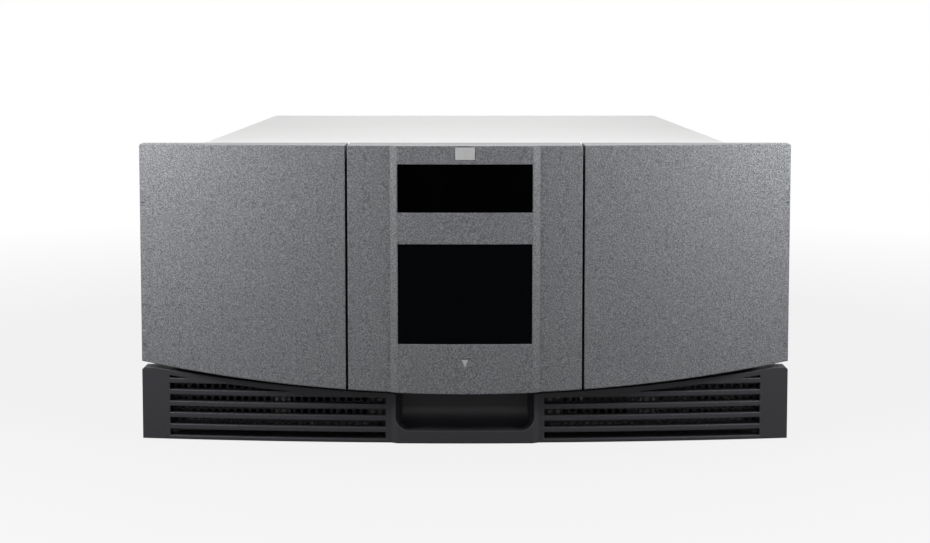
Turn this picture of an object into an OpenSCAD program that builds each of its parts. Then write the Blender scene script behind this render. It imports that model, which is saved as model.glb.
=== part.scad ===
// Rack-mounted data tape library: bowed front with two doors, sliding cartridge
// magazines, a picking robot in a centre aisle, and drives and supplies at the rear.
// Millimetres, +Z up, the front faces -Y, origin at the centre of the base's underside.

/* [Rack front] */
// Width across the front and the rack ears
rack_w = 482.6; // [470:0.1:600]
// Height in rack units
rack_units = 5; // [5:1:7]
// Height of one rack unit
unit_h = 44.45; // [44.45]
// Height left free below the next unit
unit_gap = 0.8; // [0.2:0.1:2]

/* [Chassis] */
// Width of the sheet-metal chassis
body_w = 444; // [436:1:540]
// Depth of the chassis
body_d = 740; // [700:5:900]
// How far the cover lies below the top of the front
cover_drop = 10.5; // [4:0.5:20]
// Sheet thickness
sheet = 1.5; // [1:0.1:2]
// Height of the decks that carry the magazines
deck_z = 56; // [52:1:70]
// Depth of the cover's folded lips
lip_h = 15; // [10:1:20]

/* [Doors and bezels] */
// Gap between the chassis and the back of the doors
door_gap = 16; // [14:1:22]
// Thickness of the front at its ends
front_t = 14; // [12:1:20]
// How far the doors bow forward at the centre
door_bow = 28; // [15:1:36]
// How far the lower bezel bows forward at the centre
base_bow = 16.5; // [10:0.5:24]
// Height of the upper front's lower edge at the centre
arc_low = 39.7; // [34:0.1:44]
// How much higher that edge is at the ends
arc_rise = 19.3; // [12:0.1:24]
// Gap between the upper front and the lower bezel
arc_gap = 3; // [2:0.1:6]
// Gap between the two fronts at their outer ends
end_gap = 4.7; // [4.4:0.1:7]
// Wall of the moulded doors and bezels
skin = 3; // [2:0.1:4]
// Width of the fixed centre bezel
center_w = 171.4; // [160:0.2:190]
// Gap at each door's free edge
seam = 1.8; // [1:0.1:3]
// Width of the raised middle of the centre bezel
raise_w = 109.4; // [106:0.2:120]
// How far that middle stands forward
raise = 2.5; // [1.5:0.1:5]
// Width of each sloping edge of the raised middle
raise_edge = 4.7; // [3:0.1:8]
// Stiffening rib thickness
rib = 2; // [1.5:0.1:3]

/* [Windows] */
// Width of the viewing window
window_w = 98.5; // [80:0.5:99]
// Height of the viewing window
window_h = 35.5; // [25:0.5:42]
// Distance from the window to the top of the front
window_top = 13; // [11:0.5:20]
// Width of the touch screen
screen_w = 98; // [80:0.5:99]
// Height of the touch screen
screen_h = 73.3; // [55:0.1:80]
// Distance from the touch screen to the top of the front
screen_top = 71.6; // [66:0.1:80]
// Thickness of the panes
pane_t = 2.4; // [2:0.1:4]
// How far the window's pane is set back
window_back = 1; // [0.4:0.1:1.5]
// How far the touch screen is set back
screen_back = 0.8; // [0.4:0.1:1.5]

/* [Lower bezel] */
// Height of the first grille slot
slot_z = 3.4; // [2.5:0.1:6]
// Height of a grille slot
slot_h = 4.9; // [3:0.1:6]
// Distance from slot to slot
slot_pitch = 8.65; // [7:0.05:10]
// Number of slots
slot_count = 6; // [4:1:6]
// Depth of the grille's slats
slat_d = 8; // [5:1:12]
// Width of the solid ends beside the grille
grille_end = 19; // [14:1:30]
// Width of the rim above the grille
rim = 4; // [2:0.5:7]
// Hole radius of the intake screen
mesh_r = 1.9; // [1.2:0.1:2.2]
// Hole pitch of the intake screen
mesh_pitch = 5.6; // [5:0.1:8]
// Width of the hand recess
recess_w = 102; // [80:1:104]
// Depth of the hand recess
recess_d = 24; // [14:1:26]
// Height of the recess floor
recess_z = 10; // [6:1:16]
// Corner radius of the recess
recess_r = 10; // [5:1:12]

/* [Hinges and locks] */
// Radius of the hinge pins
pin_r = 3; // [2:0.1:3.2]
// Outer radius of the hinge knuckles
knuckle_r = 4.5; // [4:0.1:4.6]
// Height of a knuckle
knuckle_h = 10; // [8:1:14]
// Hinge axis behind the back of the doors
hinge_back = 5; // [5:0.5:8]
// Hinge axis inside the outer end of the doors
hinge_in = 8.3; // [7:0.1:10]
// Radius of the lock pins
lock_r = 3; // [2:0.1:4]

/* [Rack ears] */
// Distance between the ears' slots across the rack
ear_holes = 465.1; // [455:0.1:575]
// Slot width
ear_slot_h = 6.8; // [5:0.1:8]
// Slot length
ear_slot_l = 10.5; // [7:0.1:14]
// Thickness of the ears
ear_t = 2.5; // [2:0.1:4]
// Distance of the ears behind the chassis front
ear_back = 6; // [5:1:10]

/* [Magazines] */
// Width of a magazine
mag_w = 113; // [112:0.5:120]
// Depth of a magazine's grip section
mag_grip = 60; // [45:1:70]
// Width of a cartridge
cart_w = 102; // [90:0.5:102]
// Length of a cartridge
cart_l = 105.4; // [95:0.1:106]
// Thickness of a cartridge
cart_t = 21.5; // [16:0.1:22]
// Distance from row to row
row_pitch = 26; // [25:0.1:32]
// Distance from column to column
col_pitch = 108; // [107.5:0.5:112]
// Number of columns
cols = 3; // [2:1:3]
// Wall of the magazines
mag_wall = 2.5; // [2:0.1:3.5]
// Thickness of the magazine's grooved base
mag_base = 6; // [5:0.5:8]

/* [Robot] */
// Distance between the two floor rails
rail_gap = 124; // [110:1:140]
// Radius of the floor rails
rail_r = 5; // [4:0.1:6]
// Height of the floor rails
rail_z = 22; // [20:1:26]
// Length of the picker's tray
picker_l = 136; // [120:1:140]
// Distance from the mast to the picker's turning axis
mast_out = 106; // [104:1:112]
// Distance between the mast's two guide rods
mast_gap = 76; // [60:1:90]
// Radius of the mast's guide rods
mast_r = 5; // [4:0.1:6]
// Radius of the lift screw
screw_r = 4; // [3:0.1:5]
// Running clearance of rods, pins and shafts
run_fit = 0.05; // [0.02:0.01:0.09]

/* [Rear units] */
// Width of a drive tray
tray_w = 152; // [150:1:160]
// Height of a drive tray or power supply
unit_box_h = 84; // [80:1:86]
// Distance from one drive tray or power supply to the next
unit_pitch = 92; // [90:1:94]
// Length of a drive tray
tray_l = 300; // [290:1:320]
// Width of a power supply
psu_w = 112; // [90:1:116]
// Length of a power supply
psu_l = 220; // [150:5:240]
// Radius of the fans
fan_r = 27; // [20:1:30]
// Number of fan blades
blades = 7; // [5:1:11]

/* [Hidden] */
$fn = 48;
arc_fn = 720;
fit = 0.2;
gap = 0.3;

front_h = rack_units * unit_h - unit_gap;
half = rack_w / 2;
front = -body_d / 2;
rear = body_d / 2;
top = front_h - cover_drop;
tray_half = body_w / 2 - sheet - fit;
in_half = tray_half - sheet;
tray_top = top - sheet - fit;

back_y = front - door_gap;
face_y = back_y - front_t;
arc_r = (half * half + arc_rise * arc_rise) / (2 * arc_rise);
center_half = center_w / 2;
door_in = center_half + seam;
raise_half = raise_w / 2;
window_z = front_h - window_top - window_h;
screen_z = front_h - screen_top - screen_h;
window_mid = window_z + window_h / 2;
screen_mid = screen_z + screen_h / 2;
boss_x = center_half - 6;
boss_r = 4;
badge_w = 14.6;
badge_h = 9.5;
badge_z = front_h - 5.6;
mark_w = 6;
mark_z = arc_low + 26;

grille_in = raise_half + 2;
grille_out = half - grille_end;
base_low = 0.6;
base_top = arc_low + arc_rise - end_gap;
screen_plate_y = back_y - 2;

hinge_x = half - hinge_in;
hinge_y = back_y + hinge_back;
knuckle_z = [deck_z + 16, top - 33];
arm_t = 4;
arm_w = 9;
ear_y = front + ear_back;
ear_in = tray_half + fit;
ear_low = [8, 44];
ear_high = [deck_z + 6, front_h - 4];
slot_zs = [unit_h / 2, (rack_units - 1) * unit_h + unit_h / 2];
lock_z = (deck_z + top) / 2;
tab_x = door_in + 3;
tab_t = 3;
door_cut = 1.2;
lock_box = [16, 13, 24];

mag_out = in_half - 1.5;
mag_in = mag_out - mag_w;
mag_z = deck_z + sheet + gap;
rows = floor((top - 10 - mag_z - mag_base) / row_pitch);
mag_front = front + 2;
cols_y = mag_front + mag_grip + mag_wall;
mag_rear = cols_y + cols * col_pitch;
mag_top = mag_z + mag_base + rows * row_pitch + mag_wall;
row_z = mag_z + mag_base;
rib_w = 5;
rib_t = 1.6;
guide_w = 6;
guide_h = 3.5;
guide_x = [mag_in + 22, mag_out - 26];
cart_in = mag_in + 2;
empty_slots = [[1, 2], [2, rows - 1]];
deck_in = mag_in - 3.5;
deck_rear = mag_rear + 6;

pick_y = cols_y + col_pitch / 2;
swing = sqrt(picker_l * picker_l / 4 + 56 * 56);
mast_y = pick_y - mast_out;
drive_y = mag_rear + 46;
slide_max = drive_y - pick_y - swing - 4;
lift_max = (rows - 1) * row_pitch;
plate_z = rail_z + 8;
plate_t = 6;
plate_half = rail_gap / 2 + 16;
arm_z = plate_z + plate_t + 16;
pick_z = arm_z + 10;
cart_z = row_z + gap;
spindle_r = 8;
motor_r = 21;
mast_top = tray_top - 6;
block_d = 22;
block_half = mast_gap / 2 + 12;
finger_t = 2;
finger_bite = 8;
finger_in = cart_w / 2 + gap;
picker_half = finger_in + finger_t + 0.7 + 2;
picker_h = 28;

pulley_r = 9;
belt_t = 1.5;
belt_w = 8;
belt_x = plate_half + 3.5;
pulley_front = front + 20;
pulley_rear = drive_y - 18;
end_front = front + sheet + fit;
end_t = 5;
end_rear = drive_y - 8;

unit_z = 13;
tray_half_w = tray_w / 2;
cage_half = tray_half_w + 3;
plate_y = rear + fit;
mouth_w = cart_w + 6;
mouth_h = cart_t + 4.5;
mouth_z = cart_z + cart_t / 2 - mouth_h / 2 - unit_z;
drive_l = 205;
psu_out = -in_half + 5;
psu_in = psu_out + psu_w;
psu_mid = (psu_out + psu_in) / 2;
card_in = -psu_in;
card_out = -psu_out;
card_y = rear - 170;
card_pitch = (unit_pitch + unit_box_h + 7) / 4;
back_board_y = rear - psu_l - 8;
switch_x = (psu_in - cage_half) / 2;
switch_z = 150;
switch_w = 10;
switch_h = 22;

// ---- helpers ----

// Radius of an arc with this sagitta across the whole front
function bow_r(sag) = (half * half + sag * sag) / (2 * sag);

// Depth of a bowed face at x
function bow_y(x, sag) = face_y - sag + bow_r(sag) - sqrt(pow(bow_r(sag), 2) - x * x);

module block(low, high) {
  translate(low) cube(high - low);
}

module both_sides() {
  children();
  mirror([1, 0, 0]) children();
}

// A solid between y0 and y1 from an outline drawn in X and Z
module facing(y0, y1) {
  translate([0, y1, 0]) rotate([90, 0, 0]) linear_extrude(y1 - y0) children();
}

module along_y(x, y0, y1, z, r) {
  translate([x, y0, z]) rotate([-90, 0, 0]) cylinder(h = y1 - y0, r = r);
}

module along_x(x0, x1, y, z, r) {
  translate([x0, y, z]) rotate([0, 90, 0]) cylinder(h = x1 - x0, r = r);
}

module round_rect(x0, x1, z0, z1, r) {
  translate([x0 + r, z0]) square([x1 - x0 - 2 * r, z1 - z0]);
  translate([x0, z0 + r]) square([x1 - x0, z1 - z0 - 2 * r]);
  for (x = [x0 + r, x1 - r], z = [z0 + r, z1 - r])
    translate([x, z]) circle(r = r);
}

// Plan of a bowed moulding between two x values; inset moves the face back
module bow_plan(x0, x1, sag, inset = 0) {
  depth = back_y - face_y + sag + 6;
  intersection() {
    translate([x0, back_y - depth]) square([x1 - x0, depth]);
    translate([0, face_y - sag + bow_r(sag)]) circle(r = bow_r(sag) - inset, $fn = arc_fn);
  }
}

// Plan of the raised middle, with its sloping edges
module raise_plan(sag, inset = 0) {
  edge_y = bow_y(raise_half, sag);
  slope = raise / raise_edge;
  top_half = raise_half - 2 * raise_edge;
  intersection() {
    polygon([[-raise_half + inset, back_y], [-raise_half + inset, edge_y + inset],
      [-top_half, edge_y + inset - 2 * raise_edge * slope], [top_half, edge_y + inset - 2 * raise_edge * slope],
      [raise_half - inset, edge_y + inset], [raise_half - inset, back_y]]);
    translate([0, face_y - sag - raise + bow_r(sag)]) circle(r = bow_r(sag) - inset, $fn = arc_fn);
  }
}

// Everything above the lower edge of the upper front
module above_arc(x0, x1, inset = 0) {
  intersection() {
    translate([x0, 0]) square([x1 - x0, front_h - inset]);
    translate([0, arc_low + arc_r]) circle(r = arc_r - inset, $fn = arc_fn);
  }
}

// Everything below the top edge of the lower bezel
module below_arc(x0, x1, inset = 0) {
  difference() {
    translate([x0, base_low + inset]) square([x1 - x0, base_top - base_low - 2 * inset]);
    translate([0, arc_low + arc_r]) circle(r = arc_r + arc_gap + inset, $fn = arc_fn);
  }
}

module tube_y(x, y0, y1, z, r_out, r_in) {
  difference() {
    along_y(x, y0, y1, z, r_out);
    along_y(x, y0 - 1, y1 + 1, z, r_in);
  }
}

// ---- chassis ----

module chassis_tray() {
  color("silver") difference() {
    union() {
      block([-tray_half, front, 0], [tray_half, rear, sheet]);
      both_sides() {
        block([in_half, front, 0], [tray_half, rear, tray_top]);
        block([in_half - 12, front + 20, tray_top - sheet], [in_half + 0.5, rear - 20, tray_top]);
      }
      for (y = [-0.3, -0.05])
        block([-mag_in + 8, y * body_d - 5, sheet / 2], [mag_in - 8, y * body_d + 5, sheet + 1.5]);
    }
    both_sides() for (i = [0:8])
      side_vent(rear - 60 - i * 14);
  }
}

// One slanted vent slot through a side wall
module side_vent(y) {
  translate([in_half - 1, y, tray_top / 2]) rotate([0, 90, 0]) linear_extrude(sheet + 2) {
    translate([-36, -2.5]) square([72, 5]);
    for (x = [-36, 36]) translate([x, 0]) circle(r = 2.5);
  }
}

// A folded cover: its plan has round rear corners, and its side lips lap the tray
module top_cover() {
  corner = 6;
  color("gainsboro") {
    translate([0, 0, top - sheet]) linear_extrude(sheet) {
      translate([-body_w / 2, front]) square([body_w, body_d - corner]);
      translate([-body_w / 2 + corner, front]) square([body_w - 2 * corner, body_d]);
      for (s = [-1, 1]) translate([s * (body_w / 2 - corner), rear - corner]) circle(r = corner);
    }
    both_sides() difference() {
      block([body_w / 2 - sheet, front, top - lip_h], [body_w / 2, rear - corner, top - sheet / 2]);
      for (y = [-0.42, -0.14, 0.14, 0.42])
        along_x(body_w / 2 - sheet - 1, body_w / 2 + 1, y * body_d, top - lip_h / 2, 1.7);
    }
    block([-in_half + sheet + 1, rear - 2 * sheet - fit, top - lip_h + 4],
      [in_half - sheet - 1, rear - sheet - fit, top - sheet / 2]);
  }
}

module rear_panel() {
  z_low = unit_z - 3;
  z_high = unit_z + unit_pitch + unit_box_h + 4;
  color("gainsboro") difference() {
    union() {
      block([-in_half + fit, rear - sheet, sheet + fit], [in_half - fit, rear, tray_top - sheet - fit]);
      both_sides() block([in_half - fit - sheet, rear - 12, sheet + fit],
        [in_half - fit, rear - sheet / 2, tray_top - sheet - fit]);
    }
    facing(rear - sheet - 1, rear + 1) {
      round_rect(-cage_half + 1, cage_half - 1, z_low, z_high, 2);
      round_rect(psu_out - 2, psu_in + 2, z_low, z_high, 2);
      round_rect(card_in - 2, card_out + 2, z_low, z_high, 2);
      switch_hole();
    }
  }
  color("gainsboro") for (s = [-1, 1]) switch_ear(switch_x + s * (switch_w / 2 + 1.9));
}

// One of the two ears that the rocker's axle turns in
module switch_ear(x) {
  difference() {
    block([x - 1, rear - 12, switch_z - 5], [x + 1, rear - sheet / 2, switch_z + 5]);
    along_x(x - 2, x + 2, rear - 7, switch_z, 1.6 + run_fit);
  }
}

module switch_hole() {
  w = switch_w / 2 + fit;
  h = switch_h / 2 + fit;
  round_rect(switch_x - w, switch_x + w, switch_z - h, switch_z + h, 1);
}

module front_frame() {
  stile_in = boss_x - 6;
  stile_out = mag_in - 2;
  color("silver") facing(front, front + sheet) difference() {
    union() {
      translate([-in_half + fit, sheet + fit]) square([2 * (in_half - fit), deck_z - sheet - 2 * fit]);
      translate([-in_half + fit, mag_top + 2]) square([2 * (in_half - fit), tray_top - sheet - fit - mag_top - 2]);
      for (s = [-1, 1]) translate([s * (stile_in + stile_out) / 2 - (stile_out - stile_in) / 2, deck_z / 2])
        square([stile_out - stile_in, mag_top + 4 - deck_z / 2]);
    }
    for (s = [-1, 1]) {
      translate([s * (grille_out + grille_in) / 2 - 70, 0]) round_rect(0, 64, 10, 40, 4);
      translate([s * (grille_out + grille_in) / 2 + 6, 0]) round_rect(0, 64, 10, 40, 4);
    }
    translate([-stile_in, rail_z + 14]) square([2 * stile_in, mag_top - rail_z - 20]);
  }
}

// An L-shaped ear: a leg on the chassis side and a slotted flange in two tabs
module rack_ear() {
  difference() {
    union() {
      block([ear_in, ear_y, ear_low[0]], [ear_in + ear_t, ear_y + 46, top - lip_h - 3]);
      block([ear_in, ear_y, ear_low[0]], [half, ear_y + ear_t, ear_low[1]]);
      block([ear_in, ear_y, ear_high[0]], [half, ear_y + ear_t, top - lip_h - 3]);
      block([body_w / 2 + fit, ear_y, ear_high[0]], [half, ear_y + ear_t, ear_high[1]]);
    }
    facing(ear_y - 1, ear_y + ear_t + 1) for (z = slot_zs) ear_slot(z);
    for (z = [30, 100, 160]) along_x(ear_in - 1, ear_in + ear_t + 1, ear_y + 32, z, 2.2);
  }
}

module ear_slot(z) {
  reach = (ear_slot_l - ear_slot_h) / 2;
  translate([ear_holes / 2 - reach, z - ear_slot_h / 2]) square([2 * reach, ear_slot_h]);
  for (s = [-1, 1]) translate([ear_holes / 2 + s * reach, z]) circle(r = ear_slot_h / 2);
}

module left_rack_ear() {
  color("dimgray") mirror([1, 0, 0]) rack_ear();
}

module right_rack_ear() {
  color("dimgray") rack_ear();
}

// Round-headed screws along the cover's lips and in the ears' legs
module case_screws() {
  color("silver") both_sides() {
    for (y = [-0.42, -0.14, 0.14, 0.42]) button_screw(body_w / 2 + 0.1, y * body_d, top - lip_h / 2);
    for (z = [30, 100, 160]) button_screw(ear_in + ear_t + 0.1, ear_y + 32, z);
  }
}

module button_screw(x, y, z) {
  difference() {
    along_x(x, x + 1.8, y, z, 3.4);
    translate([x + 0.8, y, z]) rotate([0, 90, 0]) cylinder(h = 2, r = 1.5, $fn = 6);
  }
}

// ---- front mouldings ----

module center_bezel() {
  color("dimgray") difference() {
    intersection() {
      linear_extrude(front_h) {
        bow_plan(-center_half, center_half, door_bow);
        raise_plan(door_bow);
      }
      facing(face_y - door_bow - 20, back_y) above_arc(-center_half, center_half);
    }
    intersection() {
      translate([0, 0, -1]) linear_extrude(front_h + 2) bezel_cavity_plan();
      facing(face_y - door_bow - 20, back_y + 1) above_arc(-center_half, center_half, skin);
    }
    facing(face_y - door_bow - 20, back_y) {
      translate([-window_w / 2, window_z]) square([window_w, window_h]);
      translate([-screen_w / 2, screen_z]) square([screen_w, screen_h]);
      mark_outline(0);
    }
    badge_block(0, -2, 0.8);
  }
  color("dimgray") both_sides() for (z = [deck_z + 10, deck_z + 44, top - 14])
    tube_y(boss_x, bow_y(boss_x, door_bow) + 1, front - fit, z, boss_r, 1.6);
}

// The hollow behind the centre bezel's face
module bezel_cavity_plan() {
  depth = door_bow + front_t + 6;
  intersection() {
    translate([-center_half + skin, back_y - depth]) square([center_w - 2 * skin, depth + 1]);
    translate([0, face_y - door_bow + bow_r(door_bow)]) circle(r = bow_r(door_bow) - skin, $fn = arc_fn);
  }
  raise_hollow = raise_half - raise_edge - 1;
  intersection() {
    translate([-raise_hollow, back_y - depth]) square([2 * raise_hollow, depth + 1]);
    translate([0, face_y - door_bow - raise + bow_r(door_bow)])
      circle(r = bow_r(door_bow) - skin, $fn = arc_fn);
  }
}

// A small triangle pointing down
module mark_outline(inset) {
  polygon([[-mark_w / 2 + inset, mark_z - inset / 2], [mark_w / 2 - inset, mark_z - inset / 2],
    [0, mark_z - mark_w * 1.2 + inset * 1.4]]);
}

module status_mark() {
  y = face_y - door_bow - raise;
  color("lightgray") facing(y + 0.3, y + skin + 1) mark_outline(fit);
}

module badge_block(inset, y0, y1) {
  y = face_y - door_bow - raise;
  block([-badge_w / 2 + inset, y + y0, badge_z - badge_h / 2 + inset],
    [badge_w / 2 - inset, y + y1, badge_z + badge_h / 2 - inset]);
}

module badge_plate() {
  color("lightgray") badge_block(fit, -0.2, 0.6);
}

// A pane that follows the bow, set back behind the face
module pane(x, z0, z1, back) {
  intersection() {
    linear_extrude(front_h) difference() {
      raise_arc(back);
      raise_arc(back + pane_t);
    }
    block([-x, face_y - door_bow - 10, z0], [x, back_y, z1]);
  }
}

module raise_arc(inset) {
  translate([0, face_y - door_bow - raise + bow_r(door_bow)])
    circle(r = bow_r(door_bow) - inset, $fn = arc_fn);
}

module window_pane() {
  color("black") pane(window_w / 2 - fit, window_z + fit, window_z + window_h - fit, window_back);
}

module touch_screen() {
  color("black") pane(screen_w / 2 - fit, screen_z + fit, screen_z + screen_h - fit, screen_back);
}

// Display housing behind the touch screen, with a ribbed back
module display_module() {
  w = raise_half - raise_edge - 1 - gap;
  y = max(bow_y(screen_w / 2, door_bow) + screen_back + pane_t, bow_y(w, door_bow) + skin) - raise + gap;
  color("darkslategray") {
    block([-w, y, screen_z - 2], [w, y + 10, screen_z + screen_h + 2]);
    for (i = [0:6]) block([-40 + i * 12, y + 9, screen_z + 6], [-32 + i * 12, y + 13, screen_z + screen_h - 6]);
  }
}

module door_shell() {
  color("dimgray") {
    difference() {
      intersection() {
        linear_extrude(front_h) bow_plan(door_in, half, door_bow);
        facing(face_y - door_bow - 20, back_y) above_arc(door_in, half);
      }
      intersection() {
        translate([0, 0, -1]) linear_extrude(front_h + 2) difference() {
          translate([0, 1]) bow_plan(door_in + skin, half - skin, door_bow, skin);
          for (i = [1, 2]) translate([door_in + i * (half - door_in) / 3 - rib / 2, back_y - 60])
            square([rib, 70]);
        }
        difference() {
          facing(face_y - door_bow - 20, back_y + 1) above_arc(door_in + skin, half - skin, skin);
          for (z = [0.42, 0.62, 0.82]) block([0, back_y - 60, z * front_h], [half, back_y + 2, z * front_h + rib]);
        }
      }
      facing(face_y - door_bow - 20, back_y + 2)
        polygon([[half - door_cut - 1, front_h + 1], [half + 1, front_h + 1], [half + 1, front_h - door_cut - 1]]);
    }
    door_hardware();
  }
}

// The knuckles on the hinge side and the lock tab on the free side
module door_hardware() {
  for (z = knuckle_z) difference() {
    union() {
      translate([hinge_x, hinge_y, z]) cylinder(h = knuckle_h, r = knuckle_r);
      block([hinge_x - knuckle_r, back_y - skin, z], [hinge_x + knuckle_r, hinge_y, z + knuckle_h]);
      block([hinge_x - knuckle_r, bow_y(hinge_x, door_bow) + 1, z], [half - 1, back_y, z + knuckle_h]);
    }
    translate([hinge_x, hinge_y, z - 1]) cylinder(h = knuckle_h + 2, r = pin_r + run_fit);
  }
  difference() {
    block([tab_x, bow_y(tab_x, door_bow) + 1, lock_z - 9], [tab_x + tab_t, front - 3, lock_z + 9]);
    block([tab_x - 1, front - 9 - lock_r - gap, lock_z - lock_r - 1.3],
      [tab_x + tab_t + 1, front - 9 + lock_r + gap, lock_z + lock_r + 1.3]);
  }
}

module left_door() {
  mirror([1, 0, 0]) door_shell();
}

module right_door() {
  door_shell();
}

// Arms on the ears with the pins that the doors turn on
module hinge_brackets() {
  color("gray") both_sides() {
    hinge_arm(knuckle_z[0] - arm_t - gap, knuckle_z[0] + knuckle_h + 1, knuckle_z[0] - arm_t - gap);
    hinge_arm(knuckle_z[1] - 1, knuckle_z[1] + knuckle_h + gap + arm_t, knuckle_z[1] + knuckle_h + gap);
  }
}

module hinge_arm(pin_low, pin_high, arm_low) {
  translate([hinge_x, hinge_y, pin_low]) cylinder(h = pin_high - pin_low, r = pin_r);
  translate([0, 0, arm_low]) linear_extrude(arm_t) {
    translate([hinge_x, hinge_y]) circle(r = knuckle_r);
    translate([hinge_x - arm_w, hinge_y]) square([arm_w, ear_y - fit - hinge_y]);
  }
  block([hinge_x - arm_w, ear_y - fit - 3, arm_low - 8], [hinge_x, ear_y - fit, arm_low + arm_t]);
}

module lock_solenoids() {
  x1 = center_half + 0.3;
  color("gray") both_sides() difference() {
    block([x1 - lock_box[0], front - fit - lock_box[1], lock_z - lock_box[2] / 2],
      [x1, front - fit, lock_z + lock_box[2] / 2]);
    along_x(x1 - lock_box[0] + 3, x1 + 1, front - 9, lock_z, lock_r + run_fit);
  }
}

module lock_pin() {
  x1 = center_half + 0.3;
  along_x(x1 - lock_box[0] + 3.3, door_in - fit, front - 9, lock_z, lock_r);
}

module left_lock_pin() {
  color("silver") mirror([1, 0, 0]) lock_pin();
}

module right_lock_pin() {
  color("silver") lock_pin();
}

// ---- lower bezel ----

module lower_bezel() {
  color("darkslategray") difference() {
    union() {
      base_shell();
      both_sides() base_grille();
      intersection() {
        recess_space(skin);
        facing(face_y - base_bow - 12, back_y) below_arc(-half, half);
        linear_extrude(front_h) raise_plan(base_bow);
      }
      both_sides() {
        tube_y(grille_in - 7, bow_y(grille_in, base_bow) + 2, front - fit, base_low + boss_r + 1, boss_r, 1.6);
        tube_y(half - 8, bow_y(half, base_bow) + 1, ear_y - fit, ear_low[0] + boss_r + 1, boss_r, 1.6);
      }
    }
    recess_space(0);
    both_sides() corner_cut(1.6);
  }
}

// Cuts off the lower bezel's upper outer corner
module corner_cut(c) {
  facing(face_y - base_bow - 20, back_y + 2)
    polygon([[half - c - 1, base_top + 1], [half + 1, base_top + 1], [half + 1, base_top - c - 1]]);
}

// The bowed outer skin with its returns, open at the back
module base_shell() {
  difference() {
    intersection() {
      linear_extrude(front_h) {
        bow_plan(-half, half, base_bow);
        raise_plan(base_bow);
      }
      facing(face_y - base_bow - 20, back_y) below_arc(-half, half);
    }
    intersection() {
      linear_extrude(front_h) translate([0, 1]) bow_plan(-half + skin, half - skin, base_bow, skin);
      facing(face_y - base_bow - 20, back_y + 2) below_arc(-half + skin, half - skin, skin);
    }
    facing(face_y - base_bow - 20, back_y) both_flat() grille_slots();
  }
}

module both_flat() {
  children();
  mirror([1, 0]) children();
}

// Deep slats behind the skin
module base_grille() {
  difference() {
    intersection() {
      linear_extrude(front_h) difference() {
        bow_plan(grille_in, grille_out, base_bow, skin - 0.5);
        bow_plan(grille_in - 1, grille_out + 1, base_bow, slat_d);
      }
      facing(face_y - base_bow - 20, back_y) below_arc(grille_in, grille_out, 1);
    }
    facing(face_y - base_bow - 20, back_y) grille_slots();
  }
}

module grille_slots() {
  difference() {
    for (i = [0:slot_count - 1])
      translate([grille_in + 2, slot_z + i * slot_pitch]) square([grille_out - grille_in - 4, slot_h]);
    translate([0, arc_low + arc_r]) circle(r = arc_r + arc_gap + rim, $fn = arc_fn);
  }
}

// The hand recess: tapered in plan, rounded at its bottom corners and scooped
module recess_space(grow) {
  w = recess_w / 2 + grow;
  low = recess_z - grow;
  high = base_top + 5;
  y0 = face_y - base_bow - 20;
  y1 = face_y - base_bow - raise + recess_d + grow;
  scoop = recess_r + 4 + grow;
  intersection() {
    linear_extrude(high) polygon([[-w, y0], [w, y0], [w, y0 + 20], [w - 4, y1], [-w + 4, y1], [-w, y0 + 20]]);
    facing(y0, y1) {
      round_rect(-w, w, low, high + 20, recess_r + grow);
    }
    translate([-w, 0, 0]) rotate([90, 0, 90]) linear_extrude(2 * w) {
      translate([y0, low]) square([y1 - scoop - y0, high - low]);
      translate([y0, low + scoop]) square([y1 - y0, high - low - scoop]);
      translate([y1 - scoop, low + scoop]) circle(r = scoop);
    }
  }
}

module intake_screens() {
  x0 = grille_in + 1;
  x1 = grille_out + 4;
  n = floor((x1 - x0 - 4) / mesh_pitch);
  m = floor((arc_low + 4) / (mesh_pitch * 0.866));
  color("gray") both_sides() facing(screen_plate_y, screen_plate_y + 1) difference() {
    intersection() {
      translate([x0, base_low + skin + fit]) square([x1 - x0, base_top]);
      below_arc(x0, x1, skin + fit);
    }
    for (i = [0:n - 1], j = [1:m - 1])
      if (mesh_inside(x0 + 4 + (i + (j % 2) / 2) * mesh_pitch, base_low + 3 + j * mesh_pitch * 0.866, x1))
        translate([x0 + 4 + (i + (j % 2) / 2) * mesh_pitch, base_low + 3 + j * mesh_pitch * 0.866])
          circle(r = mesh_r, $fn = 16);
  }
}

// Whether a screen hole stays inside the plate
function mesh_inside(x, z, x1) =
  x < x1 - mesh_r - 1
  && z < arc_low + arc_r - sqrt(pow(arc_r + arc_gap + skin + fit, 2) - x * x) - mesh_r - 1;

// ---- magazine bays ----

module magazine_decks() {
  color("silver") both_sides() difference() {
    union() {
      block([deck_in, front + sheet + fit, deck_z], [in_half - fit, deck_rear, deck_z + sheet]);
      block([deck_in, front + 45, sheet + fit], [deck_in + sheet, deck_rear, deck_z + sheet / 2]);
      block([deck_in, front + 45, sheet + fit], [deck_in + 14, deck_rear, 2 * sheet + fit]);
      block([in_half - fit - sheet, front + sheet + fit, deck_z - 14], [in_half - fit, deck_rear, deck_z + sheet / 2]);
    }
    for (i = [0:3]) translate([0, front + 62 + i * 84, 0]) rotate([90, 0, 90])
      translate([0, 0, deck_in - 1]) linear_extrude(sheet + 2) round_rect(0, 62, 14, 46, 8);
    for (i = [0:3]) translate([(mag_in + mag_out) / 2 - 28, front + 50 + i * 84, deck_z - 1])
      linear_extrude(sheet + 2) round_rect(0, 50, 0, 60, 8);
  }
}

// Low plastic ridges that a magazine's grooved base runs on
module magazine_guides() {
  color("ivory") both_sides() for (x = guide_x)
    block([x, front + 8, deck_z + sheet], [x + guide_w, mag_rear - 4, deck_z + sheet + guide_h]);
}

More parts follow.
